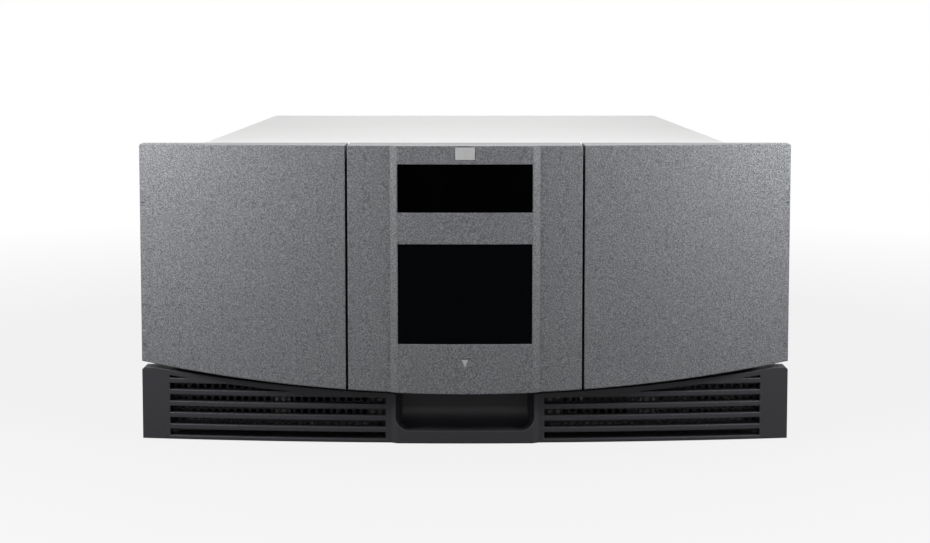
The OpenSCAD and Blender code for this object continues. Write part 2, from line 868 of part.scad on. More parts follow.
module magazine() {
  z0 = mag_z + mag_base;
  z1 = mag_top - mag_wall;
  color("dimgray") {
    difference() {
      block([mag_in, mag_front, mag_z], [mag_out, mag_rear, z0]);
      for (x = guide_x) block([x - 0.5, mag_front - 1, mag_z - 1], [x + guide_w + 0.5, mag_rear + 1, mag_z + guide_h]);
      translate([0, 0, -1]) linear_extrude(front_h) outer_corner();
    }
    difference() {
      block([mag_in, mag_front, z1], [mag_out, mag_rear, mag_top]);
      for (c = [0:cols - 1]) translate([(mag_in + mag_out) / 2, cols_y + (c + 0.5) * col_pitch, 0])
        translate([0, 0, z1 - 1]) linear_extrude(mag_wall + 2) round_rect(-30, 30, -34, 34, 8);
      translate([0, 0, -1]) linear_extrude(front_h) outer_corner();
    }
    difference() {
      block([mag_out - mag_wall, mag_front + mag_wall + run_fit, z0 + run_fit], [mag_out, mag_rear, z1 - run_fit]);
      for (c = [0:cols - 1], r = [0:rows - 1])
        along_x(mag_out - mag_wall - 1, mag_out + 1, cols_y + (c + 0.5) * col_pitch, row_z + (r + 0.5) * row_pitch, 8);
      translate([0, 0, -1]) linear_extrude(front_h) outer_corner();
    }
    block([mag_in, mag_front + mag_wall + run_fit, z0 + run_fit],
      [mag_in + mag_wall, cols_y - mag_wall - run_fit, z1 - run_fit]);
    for (c = [0:cols]) magazine_rack(c, cols_y + c * col_pitch - mag_wall, z0 + run_fit, z1 - run_fit);
    magazine_front(z0 + run_fit, z1 - run_fit);
  }
}

// One upright between two columns, with the ledges that the cartridges' edges lie on
module magazine_rack(c, y, z0, z1) {
  x1 = mag_out - mag_wall - run_fit;
  difference() {
    union() {
      block([mag_in, y, z0], [x1, y + mag_wall, z1]);
      for (r = [1:rows - 1]) block([mag_in, c > 0 ? y - rib_w : y, row_z + r * row_pitch - rib_t],
        [x1, c < cols ? y + mag_wall + rib_w : y + mag_wall, row_z + r * row_pitch]);
    }
    for (r = [0:rows - 1]) translate([mag_in - 1, y - 0.8, cart_z + cart_t / 2 - 5 + r * row_pitch])
      cube([finger_bite + 6, mag_wall + 1.6, 10]);
  }
}

// The front wall with its finger pocket and bar
module magazine_front(z0, z1) {
  difference() {
    union() {
      block([mag_in, mag_front, z0], [mag_out, mag_front + mag_wall, z1]);
      grip_pocket(mag_wall);
    }
    grip_pocket(0);
    translate([0, 0, -1]) linear_extrude(front_h) outer_corner();
  }
  grip_bar();
}

// Chamfers the corner beside the hinge
module outer_corner() {
  polygon([[mag_out - 4, mag_front - 1], [mag_out + 1, mag_front - 1], [mag_out + 1, mag_front + 4]]);
}

// The finger pocket in a magazine's front, with its walls when grown
module grip_pocket(grow) {
  mid = (mag_in + mag_out) / 2;
  z = (mag_z + mag_top) / 2;
  facing(mag_front - 1 + (grow > 0 ? 1 : 0), mag_front + 30 + grow)
    round_rect(mid - 26 - grow, mid + 26 + grow, z - 22 - grow, z + 22 + grow, 8 + grow);
}

// The bar that fingers pull on
module grip_bar() {
  z = (mag_z + mag_top) / 2;
  translate([(mag_in + mag_out) / 2, mag_front + 9, z - 22.4]) cylinder(h = 44.8, r = 5);
}

module left_magazine() {
  mirror([1, 0, 0]) magazine();
}

module right_magazine() {
  magazine();
}

// Half-inch tape cartridges in every slot but the empty ones
module cartridges() {
  color("teal") for (c = [0:cols - 1], r = [0:rows - 1])
    if (!is_empty(c, r))
      translate([cart_in, cols_y + c * col_pitch + (col_pitch - mag_wall - cart_w) / 2, cart_z + r * row_pitch])
        cartridge();
}

function is_empty(c, r) = len([for (e = empty_slots) if (e[0] == c && e[1] == r) 1]) > 0;

// A cartridge shell with a notched nose, gripping slots and a label recess
module cartridge() {
  difference() {
    linear_extrude(cart_t) polygon([[0, 0], [cart_l - 3, 0], [cart_l, 3], [cart_l, cart_w - 10],
      [cart_l - 10, cart_w], [0, cart_w]]);
    for (y = [-1, cart_w - 2]) block([6, y, cart_t * 0.3], [11, y + 3, cart_t * 0.7]);
    block([-1, 14, 3], [0.6, cart_w - 14, cart_t - 3]);
  }
}

module left_cartridges() {
  mirror([1, 0, 0]) cartridges();
}

module right_cartridges() {
  cartridges();
}

// ---- robot ----

module robot_rails() {
  color("silver") both_sides() along_y(rail_gap / 2, end_front + end_t + gap - 3, end_rear - gap + 3, rail_z, rail_r);
}

// Blocks that hold the rails' ends, and the idler's bracket
module rail_blocks() {
  color("gray") {
    both_sides() for (y = [end_front, end_rear]) rail_block(y);
    difference() {
      union() {
        block([belt_x - 6, pulley_rear - 8, sheet + fit], [belt_x + 14, pulley_rear + 8, 8]);
        for (x = [belt_x - 4, belt_x + belt_w + 1.5])
          block([x, pulley_rear - 6, 6], [x + 2.5, pulley_rear + 6, rail_z + 6]);
      }
      along_x(belt_x - 5, belt_x + belt_w + 5, pulley_rear, rail_z, 2 + run_fit);
    }
  }
}

module rail_block(y) {
  x = rail_gap / 2;
  difference() {
    union() {
      block([x - 12, y, sheet + fit], [x + 12, y + end_t, rail_z]);
      along_y(x, y, y + end_t, rail_z, plate_z - rail_z - 0.5);
    }
    along_y(x, y - 1, y + end_t + 1, rail_z, rail_r + fit);
  }
}

// A closed belt around the two pulleys
module drive_belt() {
  color("black") translate([belt_x + 1, 0, 0]) rotate([90, 0, 90]) linear_extrude(belt_w - 2) difference() {
    belt_loop(pulley_r + gap + belt_t);
    belt_loop(pulley_r + gap);
  }
}

module belt_loop(r) {
  for (y = [pulley_front, pulley_rear]) translate([y, rail_z]) circle(r = r);
  translate([pulley_front, rail_z - r]) square([pulley_rear - pulley_front, 2 * r]);
}

// Motor under the deck that turns the front pulley
module belt_motor() {
  x = belt_x + belt_w + 3;
  color("gray") difference() {
    union() {
      along_x(x, x + 32, pulley_front, rail_z, 14);
      block([x, pulley_front - 14, sheet + fit], [x + 3, pulley_front + 14, rail_z + 14]);
      block([x, pulley_front - 14, sheet + fit], [x + 20, pulley_front + 14, sheet + fit + 3]);
    }
    along_x(x - 1, x + 6, pulley_front, rail_z, 2 + run_fit);
  }
}

// A flanged pulley with its shaft
module flanged_pulley(y, x_low, x_high) {
  color("silver") difference() {
    union() {
      along_x(belt_x + 0.5, belt_x + belt_w - 0.5, y, rail_z, pulley_r);
      for (x = [belt_x - 0.9, belt_x + belt_w - 0.6]) along_x(x, x + 1.5, y, rail_z, pulley_r + 2);
      along_x(x_low, x_high, y, rail_z, 2);
    }
    for (a = [0:90:270])
      translate([belt_x - 2, y + 5.5 * cos(a), rail_z + 5.5 * sin(a)]) rotate([0, 90, 0]) cylinder(h = belt_w + 4, r = 1.4);
  }
}

module belt_pulley() {
  flanged_pulley(pulley_front, belt_x - 0.9, belt_x + belt_w + 3 + 5.5);
}

module idler_pulley() {
  flanged_pulley(pulley_rear, belt_x - 3.5, belt_x + belt_w + 3.5);
}

// Base plate on four rail bearings, with a belt clamp
module shuttle_base() {
  y0 = mast_y - block_d / 2 + 1;
  y1 = pick_y + 36;
  color("lightgray") difference() {
    union() {
      translate([0, 0, plate_z]) linear_extrude(plate_t) round_rect(-plate_half, plate_half, y0, y1, 8);
      both_sides() for (y = [y0 + 8, y1 - 38])
        block([rail_gap / 2 - 11, y, rail_z - 8], [rail_gap / 2 + 11, y + 30, plate_z + 1]);
      belt_clamp((y0 + y1) / 2);
    }
    both_sides() along_y(rail_gap / 2, y0 - 1, y1 + 1, rail_z, rail_r + run_fit);
    translate([0, mast_y, plate_z - 1]) cylinder(h = plate_t + 2, r = screw_r + run_fit);
    for (x = [-40, 40]) translate([x, pick_y - 20, plate_z - 1]) cylinder(h = plate_t + 2, r = 15);
  }
}

// Two jaws above and below the belt's upper run
module belt_clamp(y) {
  run = rail_z + pulley_r + gap;
  clamp_top = run + belt_t + 5;
  block([plate_half - 1, y, run - 4], [belt_x + 0.6, y + 24, clamp_top]);
  block([belt_x, y, run + belt_t + gap], [belt_x + belt_w - 1, y + 24, clamp_top]);
  block([belt_x, y, run - 4], [belt_x + belt_w - 1, y + 24, run - gap]);
}

// Two guide rods under a top plate, with a foot
module lift_mast() {
  z0 = plate_z + plate_t + 0.1;
  color("silver") difference() {
    union() {
      translate([0, 0, z0]) linear_extrude(5)
        round_rect(-block_half, block_half, mast_y - block_d / 2 + 1, mast_y + block_d / 2 - 1, 4);
      for (s = [-1, 1]) translate([s * mast_gap / 2, mast_y, z0 + 1]) cylinder(h = mast_top - z0 - 1, r = mast_r);
      translate([0, 0, mast_top - 5]) linear_extrude(5)
        round_rect(-block_half, block_half, mast_y - block_d / 2 + 1, mast_y + block_d / 2 - 1, 4);
    }
    translate([0, mast_y, z0 - 1]) cylinder(h = front_h, r = screw_r + run_fit);
  }
}

// A square motor with cut corners under the base plate
module lift_motor() {
  color("gray") translate([0, mast_y, rail_z - 18]) {
    linear_extrude(plate_z - rail_z + 18 - fit) intersection() {
      square([40, block_d - 2], center = true);
      rotate(45) square(38, center = true);
    }
  }
}

module lift_screw() {
  z0 = plate_z + 0.5;
  z1 = mast_top - 0.5;
  groove_z0 = plate_z + plate_t + 9;
  groove_n = floor((mast_top - 8 - groove_z0) / 5);
  color("silver") translate([0, mast_y, 0]) difference() {
    translate([0, 0, z0]) cylinder(h = z1 - z0, r = screw_r);
    for (i = [0:groove_n]) translate([0, 0, groove_z0 + i * 5]) difference() {
      cylinder(h = 2, r = screw_r + 1);
      translate([0, 0, -1]) cylinder(h = 4, r = screw_r - 0.8);
    }
  }
}

// A block on the guide rods with a tapered arm to the picker's bearing
module lift_carriage() {
  block_h = 26;
  color("lightgray") difference() {
    union() {
      translate([0, 0, arm_z]) linear_extrude(block_h)
        round_rect(-block_half, block_half, mast_y - block_d / 2, mast_y + block_d / 2, 4);
      translate([0, 0, arm_z]) linear_extrude(6) {
        polygon([[-34, mast_y], [34, mast_y], [20, pick_y], [-20, pick_y]]);
        translate([0, pick_y]) circle(r = motor_r + 3);
      }
      for (s = [-1, 1]) translate([s * 14 - 1.5, mast_y, arm_z - 6]) cube([3, mast_out - motor_r - 3, 7]);
    }
    for (s = [-1, 1]) translate([s * mast_gap / 2, mast_y, arm_z - 1]) cylinder(h = block_h + 2, r = mast_r + run_fit);
    translate([0, mast_y, arm_z - 1]) cylinder(h = block_h + 2, r = screw_r + run_fit);
    translate([0, pick_y, arm_z - 1]) cylinder(h = 8, r = spindle_r + run_fit);
    translate([0, (mast_y + pick_y) / 2, arm_z - 1]) cylinder(h = 8, r = 11);
  }
}

module turn_motor() {
  color("dimgray") translate([0, pick_y, arm_z - 13]) {
    cylinder(h = 13 - fit, r = motor_r);
    cylinder(h = 21, r = 3);
  }
}

// An open tray that turns on a hollow spindle, with a slot for the gripper's keel
module picker_tray() {
  y0 = -picker_l / 2;
  y1 = picker_l / 2;
  wall = 2;
  color("gold") translate([0, pick_y, 0]) difference() {
    union() {
      block([-picker_half, y0, pick_z], [picker_half, y1, pick_z + wall]);
      both_sides() translate([picker_half - wall, 0, 0]) rotate([90, 0, 90]) linear_extrude(wall)
        polygon([[y0, pick_z], [y1, pick_z], [y1, pick_z + 12], [y1 - 16, pick_z + picker_h], [y0, pick_z + picker_h]]);
      block([-picker_half, y0, pick_z], [picker_half, y0 + wall, pick_z + picker_h]);
      translate([0, 0, arm_z + 2.5]) cylinder(h = pick_z + 1 - arm_z - 2.5, r = spindle_r);
      translate([0, 0, arm_z + 6 + gap]) cylinder(h = pick_z + 1 - arm_z - 6 - gap, r = 18);
    }
    translate([0, 0, arm_z + 1]) cylinder(h = pick_z - arm_z, r = 3 + gap);
    both_sides() block([30, y0 + 6, pick_z - 1], [38, y1 - 6, pick_z + wall + 1]);
  }
}

// A crosshead with two hooked fingers, keyed to the tray's slots
module gripper() {
  y0 = -picker_l / 2 + 6;
  z0 = pick_z + 2 + gap;
  mid = cart_z + cart_t / 2;
  color("orange") translate([0, pick_y, 0]) {
    block([-finger_in - 0.5, y0, z0], [finger_in + 0.5, y0 + 14, mid + 9]);
    both_sides() {
      translate([finger_in, 0, 0]) rotate([90, 0, 90]) linear_extrude(finger_t)
        polygon([[y0, mid - 8], [y0 + 60, mid - 3], [y0 + 60, mid + 3], [y0, mid + 8]]);
      block([30 + gap, y0 + 1, pick_z - 1.5], [38 - gap, y0 + 7, z0 + 1]);
    }
  }
}

module barcode_reader() {
  z = pick_z + picker_h + 0.1;
  color("dimgray") translate([0, pick_y - picker_l / 2, 0]) difference() {
    block([-22, 0, z], [22, 20, z + 9]);
    block([-16, 12, z + 2], [16, 21, z + 7]);
  }
}

// ---- drives ----

// Sheet walls with a shelf and guides that two units slide in; y0 is its open front
module unit_cage(x0, x1, y0) {
  y1 = rear - sheet - fit;
  z1 = unit_z + unit_pitch + unit_box_h + 2;
  shelf_z = unit_z + (unit_pitch + unit_box_h) / 2;
  guide_low = unit_z - sheet - gap;
  guide_mid = shelf_z + sheet / 2;
  difference() {
    union() {
      for (x = [x0, x1 - sheet]) block([x, y0, sheet + fit], [x + sheet, y1, z1]);
      block([x0 + 0.5, y0, shelf_z - sheet / 2], [x1 - 0.5, y1, shelf_z + sheet / 2]);
      for (x = [x0 + 0.5, x1 - 10.5]) {
        block([x, y0, guide_low], [x + 10, y1, unit_z - gap]);
        block([x, y0, guide_mid - 0.1], [x + 10, y1, unit_z + unit_pitch - gap]);
      }
    }
    for (y = [y0 + 20:80:y1 - 80], z = [unit_z, unit_z + unit_pitch])
      translate([x0 - 1, y, 0]) rotate([90, 0, 90])
        linear_extrude(x1 - x0 + 2) round_rect(0, 60, z + 20, z + unit_box_h - 18, 10);
  }
}

module drive_cage() {
  color("silver") unit_cage(-cage_half, cage_half, drive_y + 4);
}

module supply_cage() {
  color("silver") unit_cage(psu_out - sheet - 0.6, psu_in + sheet + 0.6, rear - psu_l + 2);
}

module drive_tray(z0) {
  fan_z = z0 + unit_box_h / 2;
  color("gainsboro") {
    difference() {
      union() {
        block([-tray_half_w, drive_y + 2, z0], [tray_half_w, plate_y + 0.5, z0 + sheet]);
        both_sides() block([tray_half_w - sheet, drive_y + 2, z0], [tray_half_w, plate_y + 0.5, z0 + 34]);
        block([-cage_half - 1, plate_y, z0 - 3.5], [cage_half + 1, plate_y + sheet, z0 + unit_box_h + 3.5]);
        tube_y(-34, plate_y - 26, plate_y + 0.5, fan_z, fan_r + 3.5, fan_r + 1.5);
        block([-34 - 3, plate_y - 26, z0], [-34 + 3, plate_y, fan_z - fan_r - 2]);
      }
      along_y(-34, plate_y - 1, plate_y + 3, fan_z, fan_r);
      facing(plate_y - 1, plate_y + 3) round_rect(17, 49, z0 + 12.5, z0 + 25.5, 1);
      for (i = [0:5], j = [0:3]) facing(plate_y - 1, plate_y + 3)
        translate([16 + i * 9 + (j % 2) * 4.5, z0 + 56 + j * 7]) circle(r = 3, $fn = 6);
      block([-20, drive_y + 220, z0 - 1], [20, drive_y + 250, z0 + sheet + 1]);
    }
    fan_guard(-34, fan_z, plate_y);
    pull_handle(8, z0 + 42, plate_y + sheet);
    data_port(z0 + 12.5);
  }
}

// The receptacle of a data cable, set in the tray's plate
module data_port(z) {
  difference() {
    block([16, plate_y - 14, z - 1], [50, plate_y + sheet - 0.2, z + 14]);
    block([20, plate_y - 11, z + 2], [46, plate_y + 3, z + 11]);
  }
}

// Concentric rings on three spokes, with the axle the rotor turns on
module fan_guard(x, z, y) {
  for (r = [fan_r * 0.36, fan_r * 0.68]) tube_y(x, y, y + sheet, z, r + 1, r - 0.6);
  for (a = [0:120:240]) translate([x, y + sheet / 2, z]) rotate([0, a, 0])
    block([fan_r * 0.3, -sheet / 2, -1.2], [fan_r + 1, sheet / 2, 1.2]);
  along_y(x, y, y + sheet, z, fan_r * 0.36 + 0.5);
  along_y(x, y - 17, y + 0.5, z, 1.5);
}

// A bail handle that stands out from a unit's plate
module pull_handle(x, z, y) {
  for (s = [0, 56]) along_y(x + s, y - 0.5, y + 20, z, 2.6);
  along_x(x - 2.6, x + 58.6, y + 20, z, 2.6);
}

module lower_drive_tray() {
  drive_tray(unit_z);
}

module upper_drive_tray() {
  drive_tray(unit_z + unit_pitch);
}

// A full-height drive: loading mouth, chamfered bezel, ribbed lid and side rails
module tape_drive(z0) {
  w = tray_half_w - sheet - 0.6;
  y1 = drive_y + drive_l;
  color("slategray") difference() {
    union() {
      block([-w, drive_y + 6, z0 + sheet + fit], [w, y1, z0 + unit_box_h - 3]);
      translate([0, 0, z0 + sheet + fit + 1]) linear_extrude(unit_box_h - 3 - sheet - fit - 2)
        polygon([[-w, drive_y + 7], [-w + 4, drive_y], [w - 4, drive_y], [w, drive_y + 7]]);
      for (i = [0:8]) block([-w + 12, drive_y + 40 + i * 16, z0 + unit_box_h - 4],
        [w - 12, drive_y + 46 + i * 16, z0 + unit_box_h - 1.5]);
    }
    block([-mouth_w / 2, drive_y - 1, z0 + mouth_z], [mouth_w / 2, drive_y + 118, z0 + mouth_z + mouth_h]);
    both_sides() block([w - 3, drive_y + 30, z0 + 42], [w + 1, y1 + 1, z0 + 50]);
  }
}

module lower_tape_drive() {
  tape_drive(unit_z);
}

module upper_tape_drive() {
  tape_drive(unit_z + unit_pitch);
}

// A hub with pitched blades, bored for its axle
module fan_rotor(x, y, z) {
  hub = fan_r * 0.4;
  color("black") translate([x, y, z]) rotate([-90, 0, 0]) difference() {
    union() {
      cylinder(h = 14, r = hub);
      intersection() {
        cylinder(h = 14, r = fan_r - 1);
        for (i = [0:blades - 1]) rotate([0, 0, i * 360 / blades]) translate([hub - 1.5, -0.8, 7])
          rotate([38, 0, 0]) translate([0, 0, -12]) cube([fan_r, 1.6, 24]);
      }
    }
    translate([0, 0, -1]) cylinder(h = 16, r = 1.5 + run_fit);
  }
}

module lower_drive_fan() {
  fan_rotor(-34, plate_y - 15, unit_z + unit_box_h / 2);
}

module upper_drive_fan() {
  fan_rotor(-34, plate_y - 15, unit_z + unit_pitch + unit_box_h / 2);
}

// ---- power supplies and cards ----

module power_supply(z0) {
  fan_x = psu_out + 34;
  fan_z = z0 + unit_box_h / 2;
  color("gainsboro") {
    difference() {
      union() {
        block([psu_out, rear - psu_l, z0], [psu_in, plate_y + 0.5, z0 + unit_box_h]);
        block([psu_out - 3.5, plate_y, z0 - 3.5], [psu_in + 3.5, plate_y + sheet, z0 + unit_box_h + 3.5]);
      }
      along_y(fan_x, plate_y - 26, plate_y + 3, fan_z, fan_r);
      facing(plate_y - 14, plate_y + 3) round_rect(psu_in - 36, psu_in - 8, z0 + 8, z0 + 29, 3);
      for (i = [0:3], j = [0:3]) facing(plate_y - 8, plate_y + 3)
        translate([psu_in - 38 + i * 9 + (j % 2) * 4.5, z0 + 52 + j * 7]) circle(r = 3, $fn = 6);
      for (i = [0:7]) facing(rear - psu_l - 1, rear - psu_l + 6)
        round_rect(psu_out + 14 + i * 11, psu_out + 19 + i * 11, z0 + 34, z0 + 74, 2);
    }
    fan_guard(fan_x, fan_z, plate_y);
    inlet_pins(psu_in - 22, z0 + 18.5);
    along_y(psu_in - 42, plate_y + 1, plate_y + 22, z0 + 42, 2.6);
    along_y(psu_in - 6, plate_y + 1, plate_y + 22, z0 + 42, 2.6);
    along_x(psu_in - 44.6, psu_in - 3.4, plate_y + 22, z0 + 42, 2.6);
  }
}

// Three flat blades of a power inlet
module inlet_pins(x, z) {
  for (p = [[-7, -2], [7, -2], [0, 3]])
    block([x + p[0] - 1, plate_y - 14.5, z + p[1] - 2.4], [x + p[0] + 1, plate_y - 2, z + p[1] + 2.4]);
}

module lower_power_supply() {
  power_supply(unit_z);
}

module upper_power_supply() {
  power_supply(unit_z + unit_pitch);
}

module lower_supply_fan() {
  fan_rotor(psu_out + 34, plate_y - 15, unit_z + unit_box_h / 2);
}

module upper_supply_fan() {
  fan_rotor(psu_out + 34, plate_y - 15, unit_z + unit_pitch + unit_box_h / 2);
}

// A board with the sockets that the supplies plug into
module supply_backplane() {
  color("darkgreen") {
    block([psu_out - 2, back_board_y, sheet + fit], [psu_in, back_board_y + 2.4, unit_z + unit_pitch + unit_box_h]);
    for (i = [0:1]) for (x = [psu_out + 14, psu_out + 62])
      block([x, back_board_y + 2, unit_z + i * unit_pitch + 8], [x + 34, rear - psu_l - gap, unit_z + i * unit_pitch + 24]);
  }
}

// Shelves and walls that the cards slide into
module card_cage() {
  z1 = unit_z + unit_pitch + unit_box_h;
  color("silver") difference() {
    union() {
      for (x = [card_in, card_out - sheet])
        block([x, card_y, sheet + fit], [x + sheet, rear - sheet - fit, z1]);
      block([card_in, card_y, z1 - sheet], [card_out, rear - sheet - fit, z1]);
      block([card_in, card_y, unit_z - 3], [card_out, rear - sheet - fit, unit_z - 3 + sheet]);
      for (x = [card_in + 0.5, card_out - 6.5], i = [0:3])
        block([x, card_y + 6, unit_z + 6 + i * card_pitch], [x + 6, rear - 10, unit_z + 9 + i * card_pitch]);
    }
    for (x = [card_in - 1, card_out - sheet - 1], i = [0:1])
      translate([x, card_y + 24 + i * 70, 0]) rotate([90, 0, 90])
        linear_extrude(sheet + 2) round_rect(0, 50, 60, 150, 10);
  }
}

// The controller: a board on the lowest guides with chips, ports and a bracket
module controller_card() {
  z = unit_z + 9 + gap;
  color("darkgreen") {
    block([card_in + sheet + 0.6, card_y + 8, z], [card_out - sheet - 0.6, plate_y + 0.3, z + 1.6]);
    for (i = [0:3]) block([card_in + 16 + i * 22, card_y + 24, z + 1], [card_in + 30 + i * 22, card_y + 38, z + 4]);
    block([card_in + 34, card_y + 60, z + 1], [card_in + 66, card_y + 92, z + 9]);
    difference() {
      union() {
        block([card_in - 3, plate_y, unit_z - 3], [card_out + 3, plate_y + sheet, unit_z - 4 + card_pitch]);
        for (i = [0:3]) port_box(card_in + 12 + i * 24, z + 1.6);
      }
      for (i = [0:3]) block([card_in + 14 + i * 24, plate_y - 12, z + 3.6],
        [card_in + 28 + i * 24, plate_y + 3, z + 14.6]);
    }
  }
}

module port_box(x, z) {
  block([x, plate_y - 16, z - 0.4], [x + 18, plate_y + 0.5, z + 15]);
}

// Blank brackets over the unused card places
module slot_covers() {
  color("gainsboro") for (i = [1:3]) {
    z = unit_z - 3 + i * card_pitch;
    difference() {
      block([card_in - 3, plate_y, z], [card_out + 3, plate_y + sheet, z + card_pitch - 1]);
      for (k = [0:6]) facing(plate_y - 1, plate_y + 3)
        round_rect(card_in + 12 + k * 13, card_in + 21 + k * 13, z + 12, z + card_pitch - 14, 3);
    }
  }
}

// A rocker that turns on a short axle behind the rear panel
module power_switch() {
  color("black") translate([switch_x, 0, 0]) {
    rotate([90, 0, 90]) translate([0, 0, -switch_w / 2]) linear_extrude(switch_w)
      polygon([[rear - 9, switch_z - 8], [rear + 1, switch_z - 10], [rear - 0.6, switch_z],
        [rear + 4, switch_z + 9.4], [rear - 9, switch_z + 8]]);
    along_x(-switch_w / 2 - 3, switch_w / 2 + 3, rear - 7, switch_z, 1.6);
  }
}

chassis_tray();
top_cover();
rear_panel();
front_frame();
left_rack_ear();
right_rack_ear();
center_bezel();
lower_bezel();
intake_screens();
window_pane();
touch_screen();
display_module();
badge_plate();
status_mark();
hinge_brackets();
lock_solenoids();
magazine_decks();
magazine_guides();
robot_rails();
rail_blocks();
drive_belt();
belt_motor();
drive_cage();
supply_cage();
card_cage();
controller_card();
slot_covers();
supply_backplane();
case_screws();
left_door();
right_door();
left_magazine();
left_cartridges();
right_magazine();
right_cartridges();
shuttle_base();
lift_mast();
lift_motor();
lift_screw();
lift_carriage();
turn_motor();
picker_tray();
barcode_reader();
gripper();
belt_pulley();
idler_pulley();
lower_drive_tray();
upper_drive_tray();
lower_tape_drive();
upper_tape_drive();
lower_drive_fan();
upper_drive_fan();
lower_power_supply();
upper_power_supply();
lower_supply_fan();
upper_supply_fan();
power_switch();
left_lock_pin();
right_lock_pin();
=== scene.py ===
import math

import bmesh
import bpy
from mathutils import Euler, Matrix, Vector


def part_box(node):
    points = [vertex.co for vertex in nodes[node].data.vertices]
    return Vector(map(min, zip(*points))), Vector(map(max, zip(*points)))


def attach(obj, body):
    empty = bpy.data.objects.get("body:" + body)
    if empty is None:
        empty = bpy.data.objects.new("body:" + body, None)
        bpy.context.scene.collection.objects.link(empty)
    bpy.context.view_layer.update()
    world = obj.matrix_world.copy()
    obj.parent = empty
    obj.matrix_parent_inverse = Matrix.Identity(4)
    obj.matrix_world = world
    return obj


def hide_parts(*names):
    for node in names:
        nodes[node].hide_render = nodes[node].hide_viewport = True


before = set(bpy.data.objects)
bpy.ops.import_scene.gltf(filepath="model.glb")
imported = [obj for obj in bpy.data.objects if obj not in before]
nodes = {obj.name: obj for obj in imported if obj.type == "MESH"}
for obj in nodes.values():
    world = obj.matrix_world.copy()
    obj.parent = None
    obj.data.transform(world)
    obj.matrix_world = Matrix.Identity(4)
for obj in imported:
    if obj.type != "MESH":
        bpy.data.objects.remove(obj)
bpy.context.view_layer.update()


class Value:
    # one output of a node tree, so that sums on it read as plain Python
    def __init__(self, graph, socket):
        self.graph = graph
        self.socket = socket

    def math(self, operation, other, flipped=False):
        first, second = (other, self) if flipped else (self, other)
        return self.graph.node("ShaderNodeMath", {"operation": operation}, {0: first, 1: second})

    def __add__(self, other):
        return self.math("ADD", other)

    def __radd__(self, other):
        return self.math("ADD", other, True)

    def __sub__(self, other):
        return self.math("SUBTRACT", other)

    def __rsub__(self, other):
        return self.math("SUBTRACT", other, True)

    def __mul__(self, other):
        return self.math("MULTIPLY", other)

    def __rmul__(self, other):
        return self.math("MULTIPLY", other, True)

    def __truediv__(self, other):
        return self.math("DIVIDE", other)

    def __mod__(self, other):
        return self.math("FLOORED_MODULO", other)

    def __gt__(self, other):
        return self.math("GREATER_THAN", other)

    def __lt__(self, other):
        return self.math("LESS_THAN", other)


class Graph:
    # a node tree being written: node() adds any node, with its settings first and its sockets after
    def __init__(self, tree):
        self.tree = tree

    def node(self, kind, settings=None, sockets=None, out=0):
        made = self.tree.nodes.new(kind)
        for key, value in (settings or {}).items():
            if key == "stops":
                self.setStops(made.color_ramp, value)
            else:
                setattr(made, key, value)
        for key, value in (sockets or {}).items():
            self.join(value, made.inputs[key])
        return Value(self, made.outputs[out]) if made.outputs else None

    def join(self, value, socket):
        if isinstance(value, Value):
            self.tree.links.new(value.socket, socket)
        elif isinstance(value, list):
            for one in value:
                self.tree.links.new(one.socket, socket)
        else:
            socket.default_value = value

    def setStops(self, ramp, stops):
        while len(ramp.elements) < len(stops):
            ramp.elements.new(1.0)
        for element, (place, level) in zip(ramp.elements, stops):
            element.position = place
            element.color = (level, level, level, 1)


class Finish(Graph):
    # one material, with short calls for the patterns that several of them share
    def __init__(self, name):
        self.material = bpy.data.materials.new(name)
        self.material.use_nodes = True
        super().__init__(self.material.node_tree)
        self.shader = self.tree.nodes["Principled BSDF"]
        self.place = self.node("ShaderNodeTexCoord", out="Object")

    def spread(self, stretch):
        return self.node("ShaderNodeMapping", {}, {0: self.place, "Scale": stretch})

    def noise(self, scale, detail=2.0, place=None, stops=None):
        made = self.node("ShaderNodeTexNoise", {},
                         {"Vector": place or self.place, "Scale": scale, "Detail": detail})
        if stops:
            made = self.node("ShaderNodeValToRGB", {"stops": stops}, {0: made})
        return made

    def cells(self, scale, feature="F1", out="Distance", place=None):
        return self.node("ShaderNodeTexVoronoi", {"feature": feature},
                         {"Vector": place or self.place, "Scale": scale}, out)

    def mix(self, share, low, high):
        return self.node("ShaderNodeMix", {"data_type": "RGBA"}, {0: share, 6: low, 7: high}, 2)

    def axis(self, name):
        return self.node("ShaderNodeSeparateXYZ", {}, {0: self.place}, "XYZ".index(name))

    def bump(self, height, depth, strength=0.5):
        return self.node("ShaderNodeBump", {}, {"Height": height, "Distance": depth, "Strength": strength,
                                                "Normal": self.edge})

    def give(self, colour, roughness, metallic=0.0, height=None, depth=0.0002, strength=0.5, edge=0.0006,
             **plain):
        self.edge = self.node("ShaderNodeBevel", {"samples": 4}, {"Radius": edge})
        self.join(colour, self.shader.inputs["Base Color"])
        self.join(roughness, self.shader.inputs["Roughness"])
        self.join(metallic, self.shader.inputs["Metallic"])
        normal = self.edge if height is None else self.bump(height, depth, strength)
        self.join(normal, self.shader.inputs["Normal"])
        for key, value in plain.items():
            self.shader.inputs[key.replace("_", " ")].default_value = value
        return self.material


def tone(red, green=None, blue=None):
    # a colour written as it looks on a screen, from 0 to 255
    parts = (red, red if green is None else green, red if blue is None else blue)
    line = [v / 255 / 12.92 if v <= 10 else ((v / 255 + 0.055) / 1.055) ** 2.4 for v in parts]
    return (*line, 1.0)


# camera, lamps, sky and floor

view = {"place": (0.0, -1.7023, 0.2951), "tilt": 4.5, "lens": 68.21, "rise": -0.0956}
floorPlan = {"reach": 7.0, "drop": 0.0005, "grain": 220, "near": 0.45, "far": 1.3, "nearGlow": 0.86}
light = {"sky": 0.20, "floor": 105, "top": 6.3, "near": 1.9, "side": 1.4, "back": 4.2}


def aim(thing, target):
    thing.rotation_euler = (Vector(target) - thing.location).to_track_quat("-Z", "Y").to_euler()


